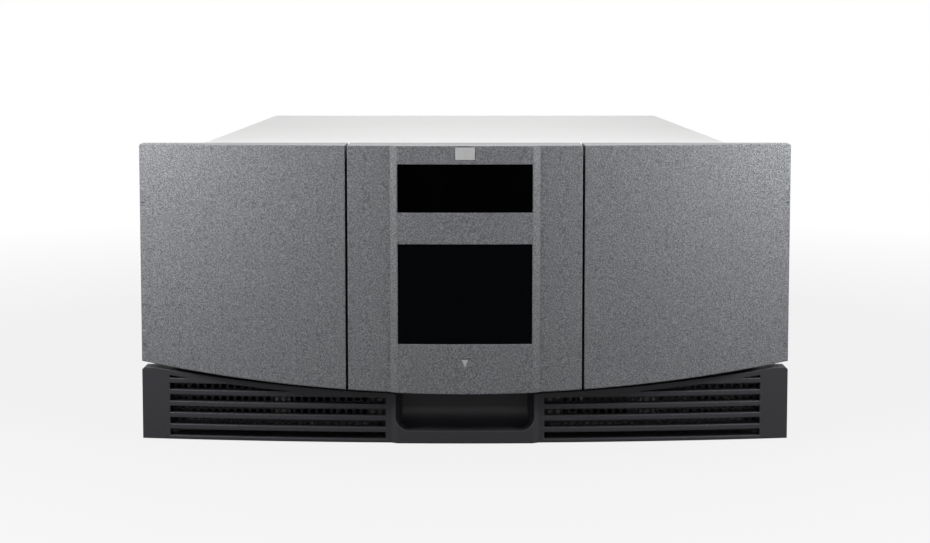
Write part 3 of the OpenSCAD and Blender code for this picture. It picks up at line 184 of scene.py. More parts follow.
def addCamera():
    data = bpy.data.cameras.new("camera")
    data.lens = view["lens"]
    data.sensor_width = 36
    data.shift_y = view["rise"]
    camera = bpy.data.objects.new("camera", data)
    bpy.context.scene.collection.objects.link(camera)
    camera.location = view["place"]
    camera.rotation_euler = Euler((math.radians(90 - view["tilt"]), 0, 0))
    bpy.context.scene.camera = camera


def addLamp(name, place, target, size, power):
    data = bpy.data.lights.new(name, "AREA")
    data.shape = "DISK"
    data.size = size
    data.energy = power
    lamp = bpy.data.objects.new(name, data)
    lamp.visible_camera = False
    bpy.context.scene.collection.objects.link(lamp)
    lamp.location = place
    aim(lamp, target)


def addSky():
    world = bpy.data.worlds.new("sky")
    bpy.context.scene.world = world
    world.use_nodes = True
    sky = Graph(world.node_tree)
    sky.tree.nodes.clear()
    rays = sky.node("ShaderNodeLightPath")
    seen = rays.socket.node.outputs
    straight = Value(sky, seen["Is Camera Ray"])
    through = Value(sky, seen["Is Transmission Ray"])
    mirrored = Value(sky, seen["Is Glossy Ray"])
    plain = sky.node("ShaderNodeBackground", {}, {"Color": (1, 1, 1, 1), "Strength": light["sky"]})
    white = sky.node("ShaderNodeBackground", {}, {"Color": (1, 1, 1, 1), "Strength": 1.0})
    share = (straight + through + mirrored) > 0.5
    mixed = sky.node("ShaderNodeMixShader", {}, {0: share, 1: plain, 2: white})
    sky.node("ShaderNodeOutputWorld", {}, {0: mixed})


def addFloor():
    mesh = bpy.data.meshes.new("floor")
    reach = floorPlan["reach"]
    corners = ((-reach, -reach), (reach, -reach), (reach, reach), (-reach, reach))
    mesh.from_pydata([(x, y, -floorPlan["drop"]) for x, y in corners], [], [(0, 1, 2, 3)])
    floor = bpy.data.objects.new("floor", mesh)
    bpy.context.scene.collection.objects.link(floor)
    paper = Finish("floorPaper")
    grain = paper.noise(floorPlan["grain"], 3)
    grained = paper.mix(grain, tone(light["floor"] - 3), tone(light["floor"] + 3))
    paper.give(grained, 0.9, Specular_IOR_Level=0.1)
    # seen straight, the floor turns to plain white away from the object and keeps its shadow near it
    rays = paper.node("ShaderNodeLightPath").socket.node.outputs
    glow = paper.node("ShaderNodeEmission", {}, {"Color": (1, 1, 1, 1), "Strength": 1.0})
    lit = Value(paper, paper.shader.outputs[0])
    away = paper.node("ShaderNodeVectorMath", {"operation": "LENGTH"}, {0: paper.place}, "Value")
    fade = paper.node("ShaderNodeMapRange", {},
                      {0: away, 1: floorPlan["near"], 2: floorPlan["far"], 3: floorPlan["nearGlow"], 4: 1.0})
    share = Value(paper, rays["Is Camera Ray"]) * fade
    both = paper.node("ShaderNodeMixShader", {}, {0: share, 1: lit, 2: glow})
    paper.join(both, paper.tree.nodes["Material Output"].inputs[0])
    floor.data.materials.append(paper.material)


addCamera()
addLamp("top", (0, 0.1, 1.5), (0, 0.1, 0), 1.2, light["top"])
addLamp("back", (0, 1.9, 1.1), (0, 0.35, 0.1), 1.2, light["back"])
for side in (-1, 1):
    addLamp("near", (side * 0.40, -0.60, 0.37), (side * 0.2, -0.4, 0.2), 0.16, light["near"])
    addLamp("side", (side * 1.3, -0.5, 0.3), (side * 0.2, -0.1, 0.1), 0.6, light["side"])
addSky()
addFloor()
bpy.context.scene.view_settings.view_transform = "Standard"
print("camera, lamps, sky and floor are up")


# materials: a function for each kind, then a finish for each use

def speckledCharcoal():
    m = Finish("speckledCharcoal")
    grain = m.noise(1000, 3, stops=[(0.36, 0.0), (0.64, 1.0)])
    drift = m.noise(14, 2)
    sparkle = m.cells(1700, out="Color")
    glint = m.node("ShaderNodeSeparateColor", {}, {0: sparkle}) > 0.92
    base = m.mix(grain, tone(82, 83, 86), tone(134, 135, 138))
    base = m.mix(drift * 0.25, base, tone(104, 107, 112))
    base = m.mix(glint * 0.35, base, tone(168, 170, 174))
    rough = 0.42 + grain * 0.12
    return m.give(base, rough, metallic=glint * 0.3, height=grain, depth=0.00016, strength=0.4, edge=0.0012)


def darkMoulding():
    m = Finish("darkMoulding")
    grain = m.noise(1200, 3)
    drift = m.noise(9, 2)
    base = m.mix(grain, tone(38, 38, 42), tone(50, 50, 55))
    base = m.mix(drift * 0.4, base, tone(41, 41, 46))
    return m.give(base, 0.42 + grain * 0.16, height=grain, depth=0.00012, strength=0.4, edge=0.0012)


def coverPaint():
    m = Finish("coverPaint")
    peel = m.noise(520, 2)
    drift = m.noise(5, 3)
    base = m.mix(drift, tone(222, 222, 221), tone(230, 230, 229))
    return m.give(base, 0.44 + peel * 0.12, height=peel, depth=0.00012, strength=0.3, edge=0.0008)


def galvanised(name, low, high):
    m = Finish(name)
    flake = m.cells(95, out="Color")
    split = m.node("ShaderNodeSeparateColor", {}, {0: flake})
    fine = m.noise(420, 3)
    haze = m.noise(11, 3)
    base = m.mix(split * 0.7 + fine * 0.3, tone(low), tone(high, high, high + 2))
    base = m.mix(haze * 0.35, base, tone((low + high) / 2))
    rough = 0.3 + split * 0.18 + haze * 0.1
    return m.give(base, rough, metallic=0.85, height=fine, depth=0.0001, strength=0.15)


def brushed(name, shade, stretch, edge=0.0004):
    m = Finish(name)
    lines = m.noise(60, 4, place=m.spread(stretch))
    haze = m.noise(30, 2)
    base = m.mix(lines, tone(shade - 14), tone(shade + 14))
    return m.give(base, 0.24 + lines * 0.2 + haze * 0.06, metallic=0.95, height=lines, depth=0.00004,
                  strength=0.25, edge=edge)


def painted(name, colour, high, rough=0.45):
    m = Finish(name)
    peel = m.noise(650, 2)
    drift = m.noise(16, 3)
    base = m.mix(drift, colour, high)
    return m.give(base, rough + peel * 0.14, height=peel, depth=0.0001, strength=0.3)


def moulded(name, colour, high, rough=0.5, grain=900, depth=0.0001):
    m = Finish(name)
    skin = m.noise(grain, 3)
    drift = m.noise(22, 2)
    base = m.mix(skin * 0.6 + drift * 0.4, colour, high)
    return m.give(base, rough + skin * 0.12, height=skin, depth=depth, strength=0.35)


def smokedPane(name, colour, high, level):
    m = Finish(name)
    dust = m.noise(60, 4, stops=[(0.5, 0.0), (0.9, 1.0)])
    base = m.mix(dust * 0.4, colour, high)
    return m.give(base, 0.08 + dust * 0.1, edge=0.0003, Specular_IOR_Level=level)


def circuitBoard():
    m = Finish("circuitBoard")
    across = m.node("ShaderNodeTexBrick", {"offset": 0.35, "squash": 1.0},
                    {"Vector": m.node("ShaderNodeCombineXYZ", {}, {0: m.axis("Y"), 1: m.axis("Z")}),
                     "Color1": (1, 1, 1, 1), "Color2": (0.6, 0.6, 0.6, 1), "Mortar": (0, 0, 0, 1),
                     "Scale": 90.0, "Mortar Size": 0.06, "Brick Width": 1.3, "Row Height": 0.3}, "Fac")
    along = m.node("ShaderNodeTexBrick", {"offset": 0.2, "squash": 1.0},
                   {"Vector": m.node("ShaderNodeCombineXYZ", {}, {0: m.axis("Z"), 1: m.axis("X")}),
                    "Scale": 80.0, "Mortar Size": 0.05, "Brick Width": 1.1, "Row Height": 0.34}, "Fac")
    pads = m.cells(260) < 0.16
    patch = m.noise(26, 1, stops=[(0.45, 0.0), (0.52, 1.0)])
    lines = across * patch + along * (1 - patch)
    base = m.mix(lines * 0.8, tone(18, 82, 44), tone(40, 122, 66))
    base = m.mix(pads, base, tone(190, 160, 92))
    return m.give(base, 0.34 + lines * 0.1, metallic=pads * 0.9, height=lines, depth=0.0001, strength=0.4)


def beltRubber():
    m = Finish("beltRubber")
    grain = m.noise(1400, 2)
    base = m.mix(grain, tone(26), tone(42))
    return m.give(base, 0.62 + grain * 0.15, height=grain, depth=0.00008, strength=0.4, edge=0.0002)


finishes = {
    "speckledCharcoal": speckledCharcoal(),
    "darkMoulding": darkMoulding(),
    "coverPaint": coverPaint(),
    "chassisSteel": galvanised("chassisSteel", 176, 206),
    "innerSteel": galvanised("innerSteel", 160, 196),
    "unitSteel": galvanised("unitSteel", 150, 190),
    "bracketSteel": brushed("bracketSteel", 168, (1, 1, 14)),
    "groundSteel": brushed("groundSteel", 196, (1, 16, 1)),
    "machinedAlloy": brushed("machinedAlloy", 186, (14, 1, 1)),
    "pulleyAlloy": brushed("pulleyAlloy", 178, (16, 1, 1), 0.0002),
    "blackPaint": painted("blackPaint", tone(30, 31, 33), tone(40, 41, 43)),
    "screenBlack": painted("screenBlack", tone(50, 50, 52), tone(66, 66, 68), 0.38),
    "motorBlack": painted("motorBlack", tone(36, 36, 38), tone(48, 48, 50), 0.36),
    "driveGrey": painted("driveGrey", tone(92, 95, 99), tone(104, 107, 111)),
    "displayPlastic": moulded("displayPlastic", tone(44, 45, 47), tone(54, 55, 57)),
    "guidePlastic": moulded("guidePlastic", tone(218, 214, 200), tone(228, 225, 214), 0.4),
    "magazinePlastic": moulded("magazinePlastic", tone(66, 69, 73), tone(78, 81, 85)),
    "cartridgeShell": moulded("cartridgeShell", tone(34, 48, 74), tone(44, 60, 88), 0.44),
    "pickerPlastic": moulded("pickerPlastic", tone(98, 99, 102), tone(112, 113, 116)),
    "gripperPlastic": moulded("gripperPlastic", tone(196, 178, 88), tone(208, 190, 100), 0.42),
    "fanPlastic": moulded("fanPlastic", tone(24, 24, 26), tone(34, 34, 36), 0.4),
    "switchPlastic": moulded("switchPlastic", tone(20, 20, 21), tone(28, 28, 29), 0.28, 500, 0.00004),
    "markPlastic": moulded("markPlastic", tone(176, 178, 180), tone(196, 198, 200), 0.35),
    "windowGlass": smokedPane("windowGlass", tone(2, 2, 3), tone(5, 5, 6), 0.03),
    "screenGlass": smokedPane("screenGlass", tone(6, 8, 11), tone(10, 12, 15), 0.05),
    "badgeSilver": brushed("badgeSilver", 222, (18, 1, 1), 0.0004),
    "circuitBoard": circuitBoard(),
    "chipBlack": moulded("chipBlack", tone(22, 22, 24), tone(32, 32, 34), 0.4),
    "solderTin": brushed("solderTin", 190, (4, 4, 4), 0.0001),
    "labelPaper": moulded("labelPaper", tone(226, 226, 220), tone(236, 236, 232), 0.6, 400, 0.00003),
    "labelInk": moulded("labelInk", tone(18, 18, 20), tone(30, 30, 32), 0.5, 400, 0.00003),
    "lampGreen": moulded("lampGreen", tone(70, 190, 90), tone(96, 214, 116), 0.25, 300, 0.00002),
    "beltRubber": beltRubber(),
    "foam": moulded("foam", tone(20, 20, 22), tone(34, 34, 37), 0.8, 700, 0.0006),
}

wearers = {
    "speckledCharcoal": ["center_bezel", "left_door", "right_door"],
    "darkMoulding": ["lower_bezel"],
    "coverPaint": ["top_cover"],
    "chassisSteel": ["chassis_tray", "rear_panel"],
    "innerSteel": ["front_frame", "magazine_decks", "drive_cage", "supply_cage", "card_cage"],
    "unitSteel": ["lower_drive_tray", "upper_drive_tray", "lower_power_supply", "upper_power_supply",
                  "slot_covers"],
    "bracketSteel": ["hinge_brackets", "case_screws", "rail_blocks", "left_lock_pin", "right_lock_pin"],
    "groundSteel": ["robot_rails", "lift_screw", "lift_mast"],
    "machinedAlloy": ["shuttle_base", "lift_carriage"],
    "pulleyAlloy": ["belt_pulley", "idler_pulley"],
    "blackPaint": ["left_rack_ear", "right_rack_ear", "lock_solenoids"],
    "screenBlack": ["intake_screens"],
    "motorBlack": ["belt_motor", "lift_motor", "turn_motor"],
    "driveGrey": ["lower_tape_drive", "upper_tape_drive"],
    "displayPlastic": ["display_module", "barcode_reader"],
    "guidePlastic": ["magazine_guides"],
    "magazinePlastic": ["left_magazine", "right_magazine"],
    "cartridgeShell": ["left_cartridges", "right_cartridges"],
    "pickerPlastic": ["picker_tray"],
    "gripperPlastic": ["gripper"],
    "fanPlastic": ["lower_drive_fan", "upper_drive_fan", "lower_supply_fan", "upper_supply_fan"],
    "switchPlastic": ["power_switch"],
    "markPlastic": ["status_mark"],
    "windowGlass": ["window_pane"],
    "screenGlass": ["touch_screen"],
    "badgeSilver": ["badge_plate"],
    "circuitBoard": ["controller_card", "supply_backplane"],
    "beltRubber": ["drive_belt"],
}

for finish, names in wearers.items():
    for name in names:
        nodes[name].data.materials.clear()
        nodes[name].data.materials.append(finishes[finish])
print("materials are on:", len(finishes))


# what repeats is grown by Geometry Nodes and kept as plain meshes

class Recipe(Graph):
    # a Geometry Nodes tree with named inputs, ended by realised instances and one material
    def __init__(self, name, sizes):
        tree = bpy.data.node_groups.new(name, "GeometryNodeTree")
        tree.is_modifier = True
        super().__init__(tree)
        tree.interface.new_socket("Geometry", in_out="INPUT", socket_type="NodeSocketGeometry")
        for label, size in sizes.items():
            kind = "NodeSocketInt" if isinstance(size, int) else "NodeSocketFloat"
            tree.interface.new_socket(label, in_out="INPUT", socket_type=kind).default_value = size
        tree.interface.new_socket("Material", in_out="INPUT", socket_type="NodeSocketMaterial")
        tree.interface.new_socket("Geometry", in_out="OUTPUT", socket_type="NodeSocketGeometry")
        self.given = self.node("NodeGroupInput").socket.node.outputs
        self.start = Value(self, self.given["Geometry"])

    def size(self, label):
        return Value(self, self.given[label])

    def vector(self, x, y, z):
        return self.node("ShaderNodeCombineXYZ", {}, {0: x, 1: y, 2: z})

    def block(self, x, y, z):
        return self.node("GeometryNodeMeshCube", {}, {"Size": self.vector(x, y, z)})

    def shift(self, shape, x=0.0, y=0.0, z=0.0):
        return self.node("GeometryNodeTransform", {},
                         {"Geometry": shape, "Translation": self.vector(x, y, z)})

    def onPoints(self, shape, points=None, rotation=None, scale=None):
        if rotation is None:
            rotation = self.node("GeometryNodeInputNamedAttribute", {"data_type": "FLOAT_VECTOR"},
                                 {"Name": "turn"})
        sockets = {"Points": points or self.start, "Instance": shape, "Rotation": rotation}
        if scale is not None:
            sockets["Scale"] = scale
        return self.node("GeometryNodeInstanceOnPoints", {}, sockets)

    def together(self, *shapes):
        return self.node("GeometryNodeJoinGeometry", {}, {0: list(shapes)})

    def end(self, shape):
        real = self.node("GeometryNodeRealizeInstances", {}, {0: shape})
        done = self.node("GeometryNodeSetMaterial", {},
                         {"Geometry": real, "Material": self.size("Material")})
        self.node("NodeGroupOutput", {}, {0: done})
        return self


def screwRecipe():
    r = Recipe("screwHeads", {"Radius": 0.003, "Height": 0.0018, "Slot": 0.0009, "Depth": 0.001})
    radius, height, slot, depth = (r.size(k) for k in ("Radius", "Height", "Slot", "Depth"))
    low = r.node("GeometryNodeMeshCone", {}, {"Vertices": 20, "Radius Bottom": radius,
                                              "Radius Top": radius, "Depth": height * 0.5})
    crown = r.node("GeometryNodeMeshCone", {}, {"Vertices": 20, "Radius Bottom": radius,
                                                "Radius Top": radius * 0.7, "Depth": height * 0.5})
    crown = r.shift(crown, z=height * 0.5)
    head = r.node("GeometryNodeMeshBoolean", {"operation": "UNION"}, {"Mesh 2": [low, crown]})
    bars = [r.shift(r.block(radius * 1.3, slot, depth * 2), z=height),
            r.shift(r.block(slot, radius * 1.3, depth * 2), z=height)]
    head = r.node("GeometryNodeMeshBoolean", {"operation": "DIFFERENCE"}, {"Mesh 1": head, "Mesh 2": bars})
    return r.end(r.onPoints(head))


def knurlRecipe():
    r = Recipe("thumbScrews", {"Radius": 0.005, "Height": 0.007, "Ridge": 0.0006, "Ridges": 24})
    radius, height, ridge = (r.size(k) for k in ("Radius", "Height", "Ridge"))
    body = r.node("GeometryNodeMeshCylinder", {}, {"Vertices": 24, "Radius": radius, "Depth": height})
    body = r.shift(body, z=height * 0.5)
    collar = r.node("GeometryNodeMeshCone", {}, {"Vertices": 24, "Radius Bottom": radius * 0.8,
                                                 "Radius Top": radius * 0.55, "Depth": height * 0.18})
    collar = r.shift(collar, z=height)
    ring = r.node("GeometryNodeMeshCircle", {}, {"Vertices": r.size("Ridges"), "Radius": radius})
    number = r.node("GeometryNodeInputIndex")
    turn = r.vector(0.0, 0.0, number * (2 * math.pi) / r.size("Ridges"))
    ridges = r.shift(r.onPoints(r.block(ridge, ridge * 1.2, height * 0.86), ring, turn), z=height * 0.5)
    return r.end(r.onPoints(r.together(body, collar, ridges)))


def domeRecipe():
    r = Recipe("domes", {"Radius": 0.002, "Height": 0.001})
    ball = r.node("GeometryNodeMeshUVSphere", {}, {"Segments": 16, "Rings": 10, "Radius": 1.0})
    flat = r.vector(r.size("Radius"), r.size("Radius"), r.size("Height"))
    ball = r.node("GeometryNodeTransform", {}, {"Geometry": ball, "Scale": flat})
    return r.end(r.onPoints(ball))


def threadRecipe():
    r = Recipe("screwThread", {"Radius": 0.004, "Length": 0.15, "Pitch": 0.02, "Depth": 0.0007, "Starts": 4})
    radius, length, depth = (r.size(k) for k in ("Radius", "Length", "Depth"))
    core = r.node("GeometryNodeMeshCylinder", {},
                  {"Vertices": 32, "Radius": radius - depth, "Depth": length})
    core = r.shift(core, z=length * 0.5)
    path = r.node("GeometryNodeCurveSpiral", {},
                  {"Resolution": 28, "Rotations": (length - depth * 4) / r.size("Pitch"),
                   "Start Radius": radius - depth, "End Radius": radius - depth,
                   "Height": length - depth * 4})
    profile = r.node("GeometryNodeCurvePrimitiveCircle", {}, {"Resolution": 6, "Radius": depth})
    crest = r.node("GeometryNodeCurveToMesh", {},
                   {"Curve": path, "Profile Curve": profile, "Fill Caps": True})
    crest = r.shift(crest, z=depth * 2)
    starts = r.node("GeometryNodePoints", {}, {"Count": r.size("Starts")})
    number = r.node("GeometryNodeInputIndex")
    turn = r.vector(0.0, 0.0, number * (2 * math.pi) / r.size("Starts"))
    crests = r.onPoints(crest, starts, turn)
    return r.end(r.onPoints(r.together(core, crests)))


def beltRecipe():
    r = Recipe("toothedBelt", {"Width": 0.006, "Tape": 0.0008, "Pitch": 0.003, "Tooth": 0.0008})
    width, tape, tooth = (r.size(k) for k in ("Width", "Tape", "Tooth"))
    path = r.node("GeometryNodeMeshToCurve", {}, {0: r.start})
    level = r.node("GeometryNodeSetCurveNormal", {"mode": "FREE"},
                   {"Curve": path, "Normal": (1.0, 0.0, 0.0)})
    profile = r.node("GeometryNodeCurvePrimitiveQuadrilateral", {}, {0: width, 1: tape})
    band = r.node("GeometryNodeCurveToMesh", {}, {"Curve": level, "Profile Curve": profile})
    steps = r.node("GeometryNodeCurveToPoints", {"mode": "LENGTH"},
                   {"Curve": level, "Length": r.size("Pitch")})
    turn = Value(r, steps.socket.node.outputs["Rotation"])
    cog = r.shift(r.block(width, tooth * 1.4, r.size("Pitch") * 0.5), y=tooth * 0.7)
    return r.end(r.together(band, r.onPoints(cog, steps, turn)))


def partsRecipe():
    r = Recipe("boardParts", {"Seed": 3, "Apart": 0.012, "Length": 0.008, "Width": 0.006, "Height": 0.0016})
    spots = r.node("GeometryNodeDistributePointsOnFaces", {"distribute_method": "POISSON"},
                   {"Mesh": r.start, "Distance Min": r.size("Apart"), "Density Max": 40000.0,
                    "Seed": r.size("Seed")})
    lengthShare = r.node("FunctionNodeRandomValue", {"data_type": "FLOAT"},
                         {"Min": 0.45, "Max": 1.0, "Seed": r.size("Seed")}, "Value")
    widthShare = r.node("FunctionNodeRandomValue", {"data_type": "FLOAT"},
                        {"Min": 0.5, "Max": 1.0, "Seed": 11}, "Value")
    block = r.block(r.size("Length"), r.size("Width"), r.size("Height"))
    block = r.shift(block, z=r.size("Height") * 0.5)
    facing = r.node("FunctionNodeAlignEulerToVector", {"axis": "Z"},
                    {"Vector": r.node("GeometryNodeInputNormal")})
    return r.end(r.onPoints(block, spots, facing, r.vector(lengthShare, widthShare, 1.0)))


def canRecipe():
    r = Recipe("boardCans", {"Seed": 3, "Apart": 0.03, "Radius": 0.003, "Height": 0.007})
    spots = r.node("GeometryNodeDistributePointsOnFaces", {"distribute_method": "POISSON"},
                   {"Mesh": r.start, "Distance Min": r.size("Apart"), "Density Max": 9000.0,
                    "Seed": r.size("Seed")})
    radius, height = r.size("Radius"), r.size("Height")
    can = r.node("GeometryNodeMeshCylinder", {}, {"Vertices": 20, "Radius": radius, "Depth": height})
    can = r.shift(can, z=height * 0.5)
    neck = r.node("GeometryNodeMeshCylinder", {},
                  {"Vertices": 20, "Radius": radius * 1.08, "Depth": height * 0.14})
    neck = r.shift(neck, z=height * 0.07)
    return r.end(r.onPoints(r.together(can, neck), spots, (0.0, 0.0, 0.0)))


def plateRecipe():
    r = Recipe("plates", {"Length": 0.014, "Width": 0.07, "Height": 0.0004})
    plate = r.shift(r.block(r.size("Length"), r.size("Width"), r.size("Height")), z=r.size("Height") * 0.5)
    return r.end(r.onPoints(plate))


def barsRecipe():
    r = Recipe("labelBars", {"Bars": 26, "Space": 0.0012, "Height": 0.009, "Thickness": 0.00016})
    row = r.node("GeometryNodeMeshLine", {},
                 {"Count": r.size("Bars"), "Offset": r.vector(r.size("Space"), 0.0, 0.0)})
    row = r.shift(row, x=r.size("Bars") * r.size("Space") * -0.5)
    width = r.node("FunctionNodeRandomValue", {"data_type": "FLOAT"},
                   {"Min": 0.25, "Max": 0.9, "Seed": 5}, "Value")
    bar = r.block(r.size("Space"), r.size("Height"), r.size("Thickness"))
    bars = r.onPoints(bar, row, (0.0, 0.0, 0.0), r.vector(width, 1.0, 1.0))
    return r.end(r.onPoints(bars))


def points(places, turns):
    mesh = bpy.data.meshes.new("points")
    mesh.from_pydata([tuple(p) for p in places], [], [])
    turn = mesh.attributes.new("turn", "FLOAT_VECTOR", "POINT")
    for item, angles in zip(turn.data, turns):
        item.vector = angles
    return mesh


def turnTo(direction):
    return Vector(direction).to_track_quat("Z", "Y").to_euler()


def grow(name, body, slot, finish, start, recipe, **sizes):
    # runs a recipe on a start mesh and keeps the result as a plain mesh that rides on one body
    seed = bpy.data.objects.new(name + "Start", start)
    bpy.context.scene.collection.objects.link(seed)
    modifier = seed.modifiers.new("recipe", "NODES")
    modifier.node_group = recipe.tree
    for item in recipe.tree.interface.items_tree:
        if item.in_out == "INPUT" and item.name in sizes:
            modifier[item.identifier] = sizes[item.name]
        if item.in_out == "INPUT" and item.name == "Material":
            modifier[item.identifier] = finishes[finish]
    graph = bpy.context.evaluated_depsgraph_get()
    mesh = bpy.data.meshes.new_from_object(seed.evaluated_get(graph))
    bpy.data.objects.remove(seed)
    mesh.name = name
    made = bpy.data.objects.new(name, mesh)
    bpy.context.scene.collection.objects.link(made)
    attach(made, body)
    print("  ", name, len(mesh.polygons), "faces")
    return made


def islands(name):
    # the boxes of a CAD node's separate solids
    work = bmesh.new()
    work.from_mesh(nodes[name].data)
    bmesh.ops.remove_doubles(work, verts=work.verts, dist=2e-6)
    left = set(work.verts)
    found = []
    while left:
        reach = [left.pop()]
        places = []
        while reach:
            vert = reach.pop()
            places.append(vert.co.copy())
            for edge in vert.link_edges:
                other = edge.other_vert(vert)
                if other in left:
                    left.remove(other)
                    reach.append(other)
        found.append((Vector(map(min, zip(*places))), Vector(map(max, zip(*places)))))
    work.free()
    return sorted(found, key=lambda box: tuple(round(v, 4) for v in box[0]))


caseScrewPlan = {"radius": 0.0032, "height": 0.0014, "slot": 0.0009, "depth": 0.0009}


def caseScrews():
    places, turns = [], []
    for low, high in islands("case_screws"):
        size = high - low
        middle = (low + high) / 2
        flat = min(range(3), key=lambda k: abs(size[(k + 1) % 3] - size[(k + 2) % 3]))
        out = math.copysign(1, middle[flat])
        direction = Vector([out if k == flat else 0 for k in range(3)])
        place = middle.copy()
        place[flat] = (high if out > 0 else low)[flat] - out * caseScrewPlan["height"]
        places.append(place)
        turns.append(turnTo(direction))
    made = grow("screw_heads", "chassis", "hardware_steel", "bracketSteel", points(places, turns),
                screwTree, Radius=caseScrewPlan["radius"], Height=caseScrewPlan["height"],
                Slot=caseScrewPlan["slot"], Depth=caseScrewPlan["depth"])
    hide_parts("case_screws")


leadScrewPlan = {"starts": 4, "lead": 0.02, "depth": 0.0007}


def leadScrew():
    low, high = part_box("lift_screw")
    middle = (low + high) / 2
    made = grow("lead_screw", "lift_screw", "ground_steel", "groundSteel",
                points([(middle.x, middle.y, low.z)], [(0, 0, 0)]), threadTree,
                Radius=(high.x - low.x) / 2, Length=high.z - low.z, Pitch=leadScrewPlan["lead"],
                Starts=leadScrewPlan["starts"], Depth=leadScrewPlan["depth"])
    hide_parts("lift_screw")


beltPlan = {"tape": 0.0008, "tooth": 0.0007, "pitch": 0.003, "arcSteps": 24}


def loopMesh(radius, front, rear, x, z):
    # a closed line round two wheels
    steps = beltPlan["arcSteps"]
    ends = [(front, 90), (rear, 270)]
    places = []
    for y, first in ends:
        for i in range(steps + 1):
            angle = math.radians(first + 180 * i / steps)
            places.append((x, y + radius * math.cos(angle), z + radius * math.sin(angle)))
    mesh = bpy.data.meshes.new("loop")
    mesh.from_pydata(places, [(i, (i + 1) % len(places)) for i in range(len(places))], [])
    return mesh


def toothedBelt():
    low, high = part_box("drive_belt")
    outer = (high.z - low.z) / 2
    loop = loopMesh(outer - beltPlan["tape"] / 2, low.y + outer, high.y - outer, (low.x + high.x) / 2,
                    (low.z + high.z) / 2)
    made = grow("toothed_belt", "chassis", "belt_rubber", "beltRubber", loop, beltTree,
                Width=high.x - low.x, Tape=beltPlan["tape"], Pitch=beltPlan["pitch"],
                Tooth=beltPlan["tooth"])
    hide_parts("drive_belt")


labelPlan = {"length": 0.070, "width": 0.014, "thickness": 0.0004, "recess": 0.0006,
             "bars": 26, "barHeight": 0.009, "barSpace": 0.0012}


def cartridgeLabels():
    for side, sign in (("left", -1), ("right", 1)):
        places = []
        for low, high in islands(side + "_cartridges"):
            inner = low.x if sign > 0 else high.x
            places.append((inner + sign * labelPlan["recess"], (low.y + high.y) / 2,
                           (low.z + high.z) / 2))
        turns = [turnTo((-sign, 0, 0))] * len(places)
        start = points(places, turns)
        grow(side + "_labels", side + "_magazine", "cartridge_shell", "labelPaper", start, plateTree,
             Length=labelPlan["length"], Width=labelPlan["width"], Height=labelPlan["thickness"])
        raised = points([(p[0] - sign * labelPlan["thickness"], p[1], p[2]) for p in places], turns)
        grow(side + "_label_bars", side + "_magazine", "cartridge_shell", "labelInk", raised, barsTree,
             Bars=labelPlan["bars"], Space=labelPlan["barSpace"], Height=labelPlan["barHeight"])


rearPlan = {"edge": 0.0065, "plate": 0.3717, "radius": 0.004, "height": 0.006, "lampRadius": 0.0016,
            "lampRise": 0.018, "lampSpace": 0.008, "driveLamp": 0.012, "supplyLamp": 0.0475}


def unitFasteners():
    units = {"lower_drive": "lower_drive_tray", "upper_drive": "upper_drive_tray",
             "lower_supply": "lower_power_supply", "upper_supply": "upper_power_supply"}
    for body, node in units.items():
        low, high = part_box(node)
        plate, edge = rearPlan["plate"], rearPlan["edge"]
        out = turnTo((0, 1, 0))
        places = [(x, plate, z) for x in (low.x + edge, high.x - edge) for z in (low.z + edge, high.z - edge)]
        grow(body + "_thumb_screws", body, "hardware_steel", "bracketSteel", points(places, [out] * 4),
             knurlTree, Radius=rearPlan["radius"], Height=rearPlan["height"])
        inset = rearPlan["driveLamp" if "drive" in body else "supplyLamp"]
        lamp = (high.x - inset, plate, low.z + rearPlan["lampRise"])
        lamps = [lamp, (lamp[0], plate, lamp[2] + rearPlan["lampSpace"])]
        grow(body + "_lamps", body, "mark_grey", "lampGreen", points(lamps, [out] * 2), domeTree,
             Radius=rearPlan["lampRadius"], Height=rearPlan["lampRadius"] * 0.8)


rivetPlan = {"space": 0.058, "margin": 0.02, "radius": 0.0022, "height": 0.0009, "low": 0.009, "high": 0.187}


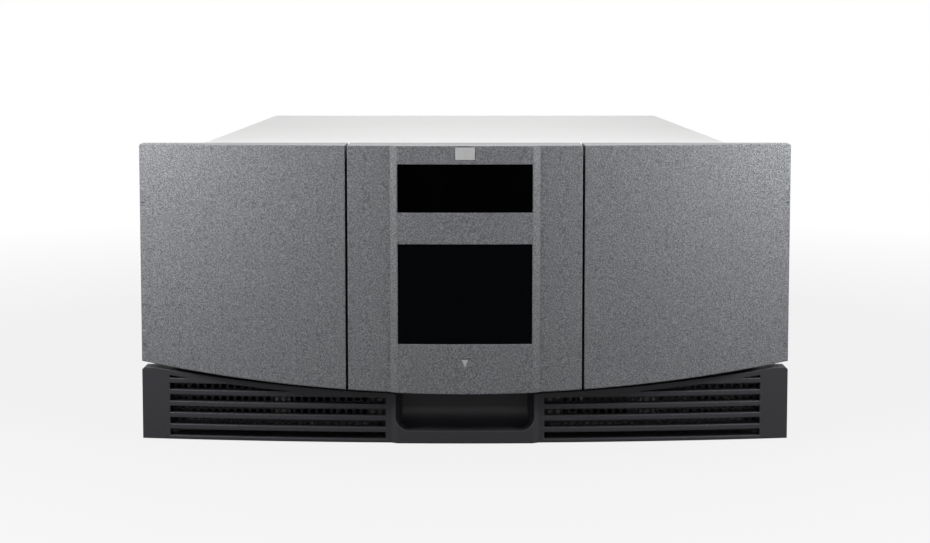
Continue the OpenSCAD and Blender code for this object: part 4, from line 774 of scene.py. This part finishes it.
def sideRivets():
    low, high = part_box("chassis_tray")
    count = int((high.y - low.y - 2 * rivetPlan["margin"]) / rivetPlan["space"])
    places, turns = [], []
    for sign in (-1, 1):
        for i in range(count + 1):
            y = low.y + rivetPlan["margin"] + i * rivetPlan["space"]
            for z in (rivetPlan["low"], rivetPlan["high"]):
                places.append((sign * high.x, y, z))
                turns.append(turnTo((sign, 0, 0)))
    grow("side_rivets", "chassis", "galvanised", "chassisSteel", points(places, turns), domeTree,
         Radius=rivetPlan["radius"], Height=rivetPlan["height"])


foamPlan = {"thick": 0.003, "apart": 0.0016, "wide": 0.016, "low": 0.006, "high": 0.044}


def intakeFoam():
    # foam behind the outer end of each perforated screen
    low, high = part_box("intake_screens")
    plan = foamPlan
    middle = (plan["low"] + plan["high"]) / 2
    places = [(side * (high.x - plan["wide"] / 2), high.y + plan["apart"], middle) for side in (-1, 1)]
    start = points(places, [turnTo((0, 1, 0))] * 2)
    grow("intake_foam", "chassis", "screen_mesh", "foam", start, plateTree, Length=plan["wide"],
         Width=plan["high"] - plan["low"], Height=plan["thick"])


boardPlan = {"top": 0.0139, "rail": 0.008, "margin": 0.005, "back": 0.022, "front": 0.012}


def boardParts():
    low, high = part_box("controller_card")
    x0 = low.x + boardPlan["rail"] + boardPlan["margin"]
    x1 = high.x - boardPlan["rail"] - boardPlan["margin"]
    y0, y1 = low.y + boardPlan["front"], high.y - boardPlan["back"]
    z = low.z + boardPlan["top"]
    board = bpy.data.meshes.new("board")
    board.from_pydata([(x0, y0, z), (x1, y0, z), (x1, y1, z), (x0, y1, z)], [], [(0, 1, 2, 3)])
    grow("card_chips", "chassis", "board_green", "chipBlack", board.copy(), partsTree, Seed=4, Apart=0.017,
         Length=0.012, Width=0.009, Height=0.0016)
    grow("card_resistors", "chassis", "board_green", "solderTin", board.copy(), partsTree, Seed=9, Apart=0.006,
         Length=0.002, Width=0.0011, Height=0.0008)
    grow("card_capacitors", "chassis", "board_green", "machinedAlloy", board, canTree, Seed=21, Apart=0.034,
         Radius=0.003, Height=0.007)


print("growing what repeats")
screwTree, knurlTree, domeTree, threadTree = screwRecipe(), knurlRecipe(), domeRecipe(), threadRecipe()
beltTree, partsTree, canTree = beltRecipe(), partsRecipe(), canRecipe()
plateTree, barsTree = plateRecipe(), barsRecipe()
caseScrews()
leadScrew()
toothedBelt()
cartridgeLabels()
unitFasteners()
sideRivets()
intakeFoam()
boardParts()
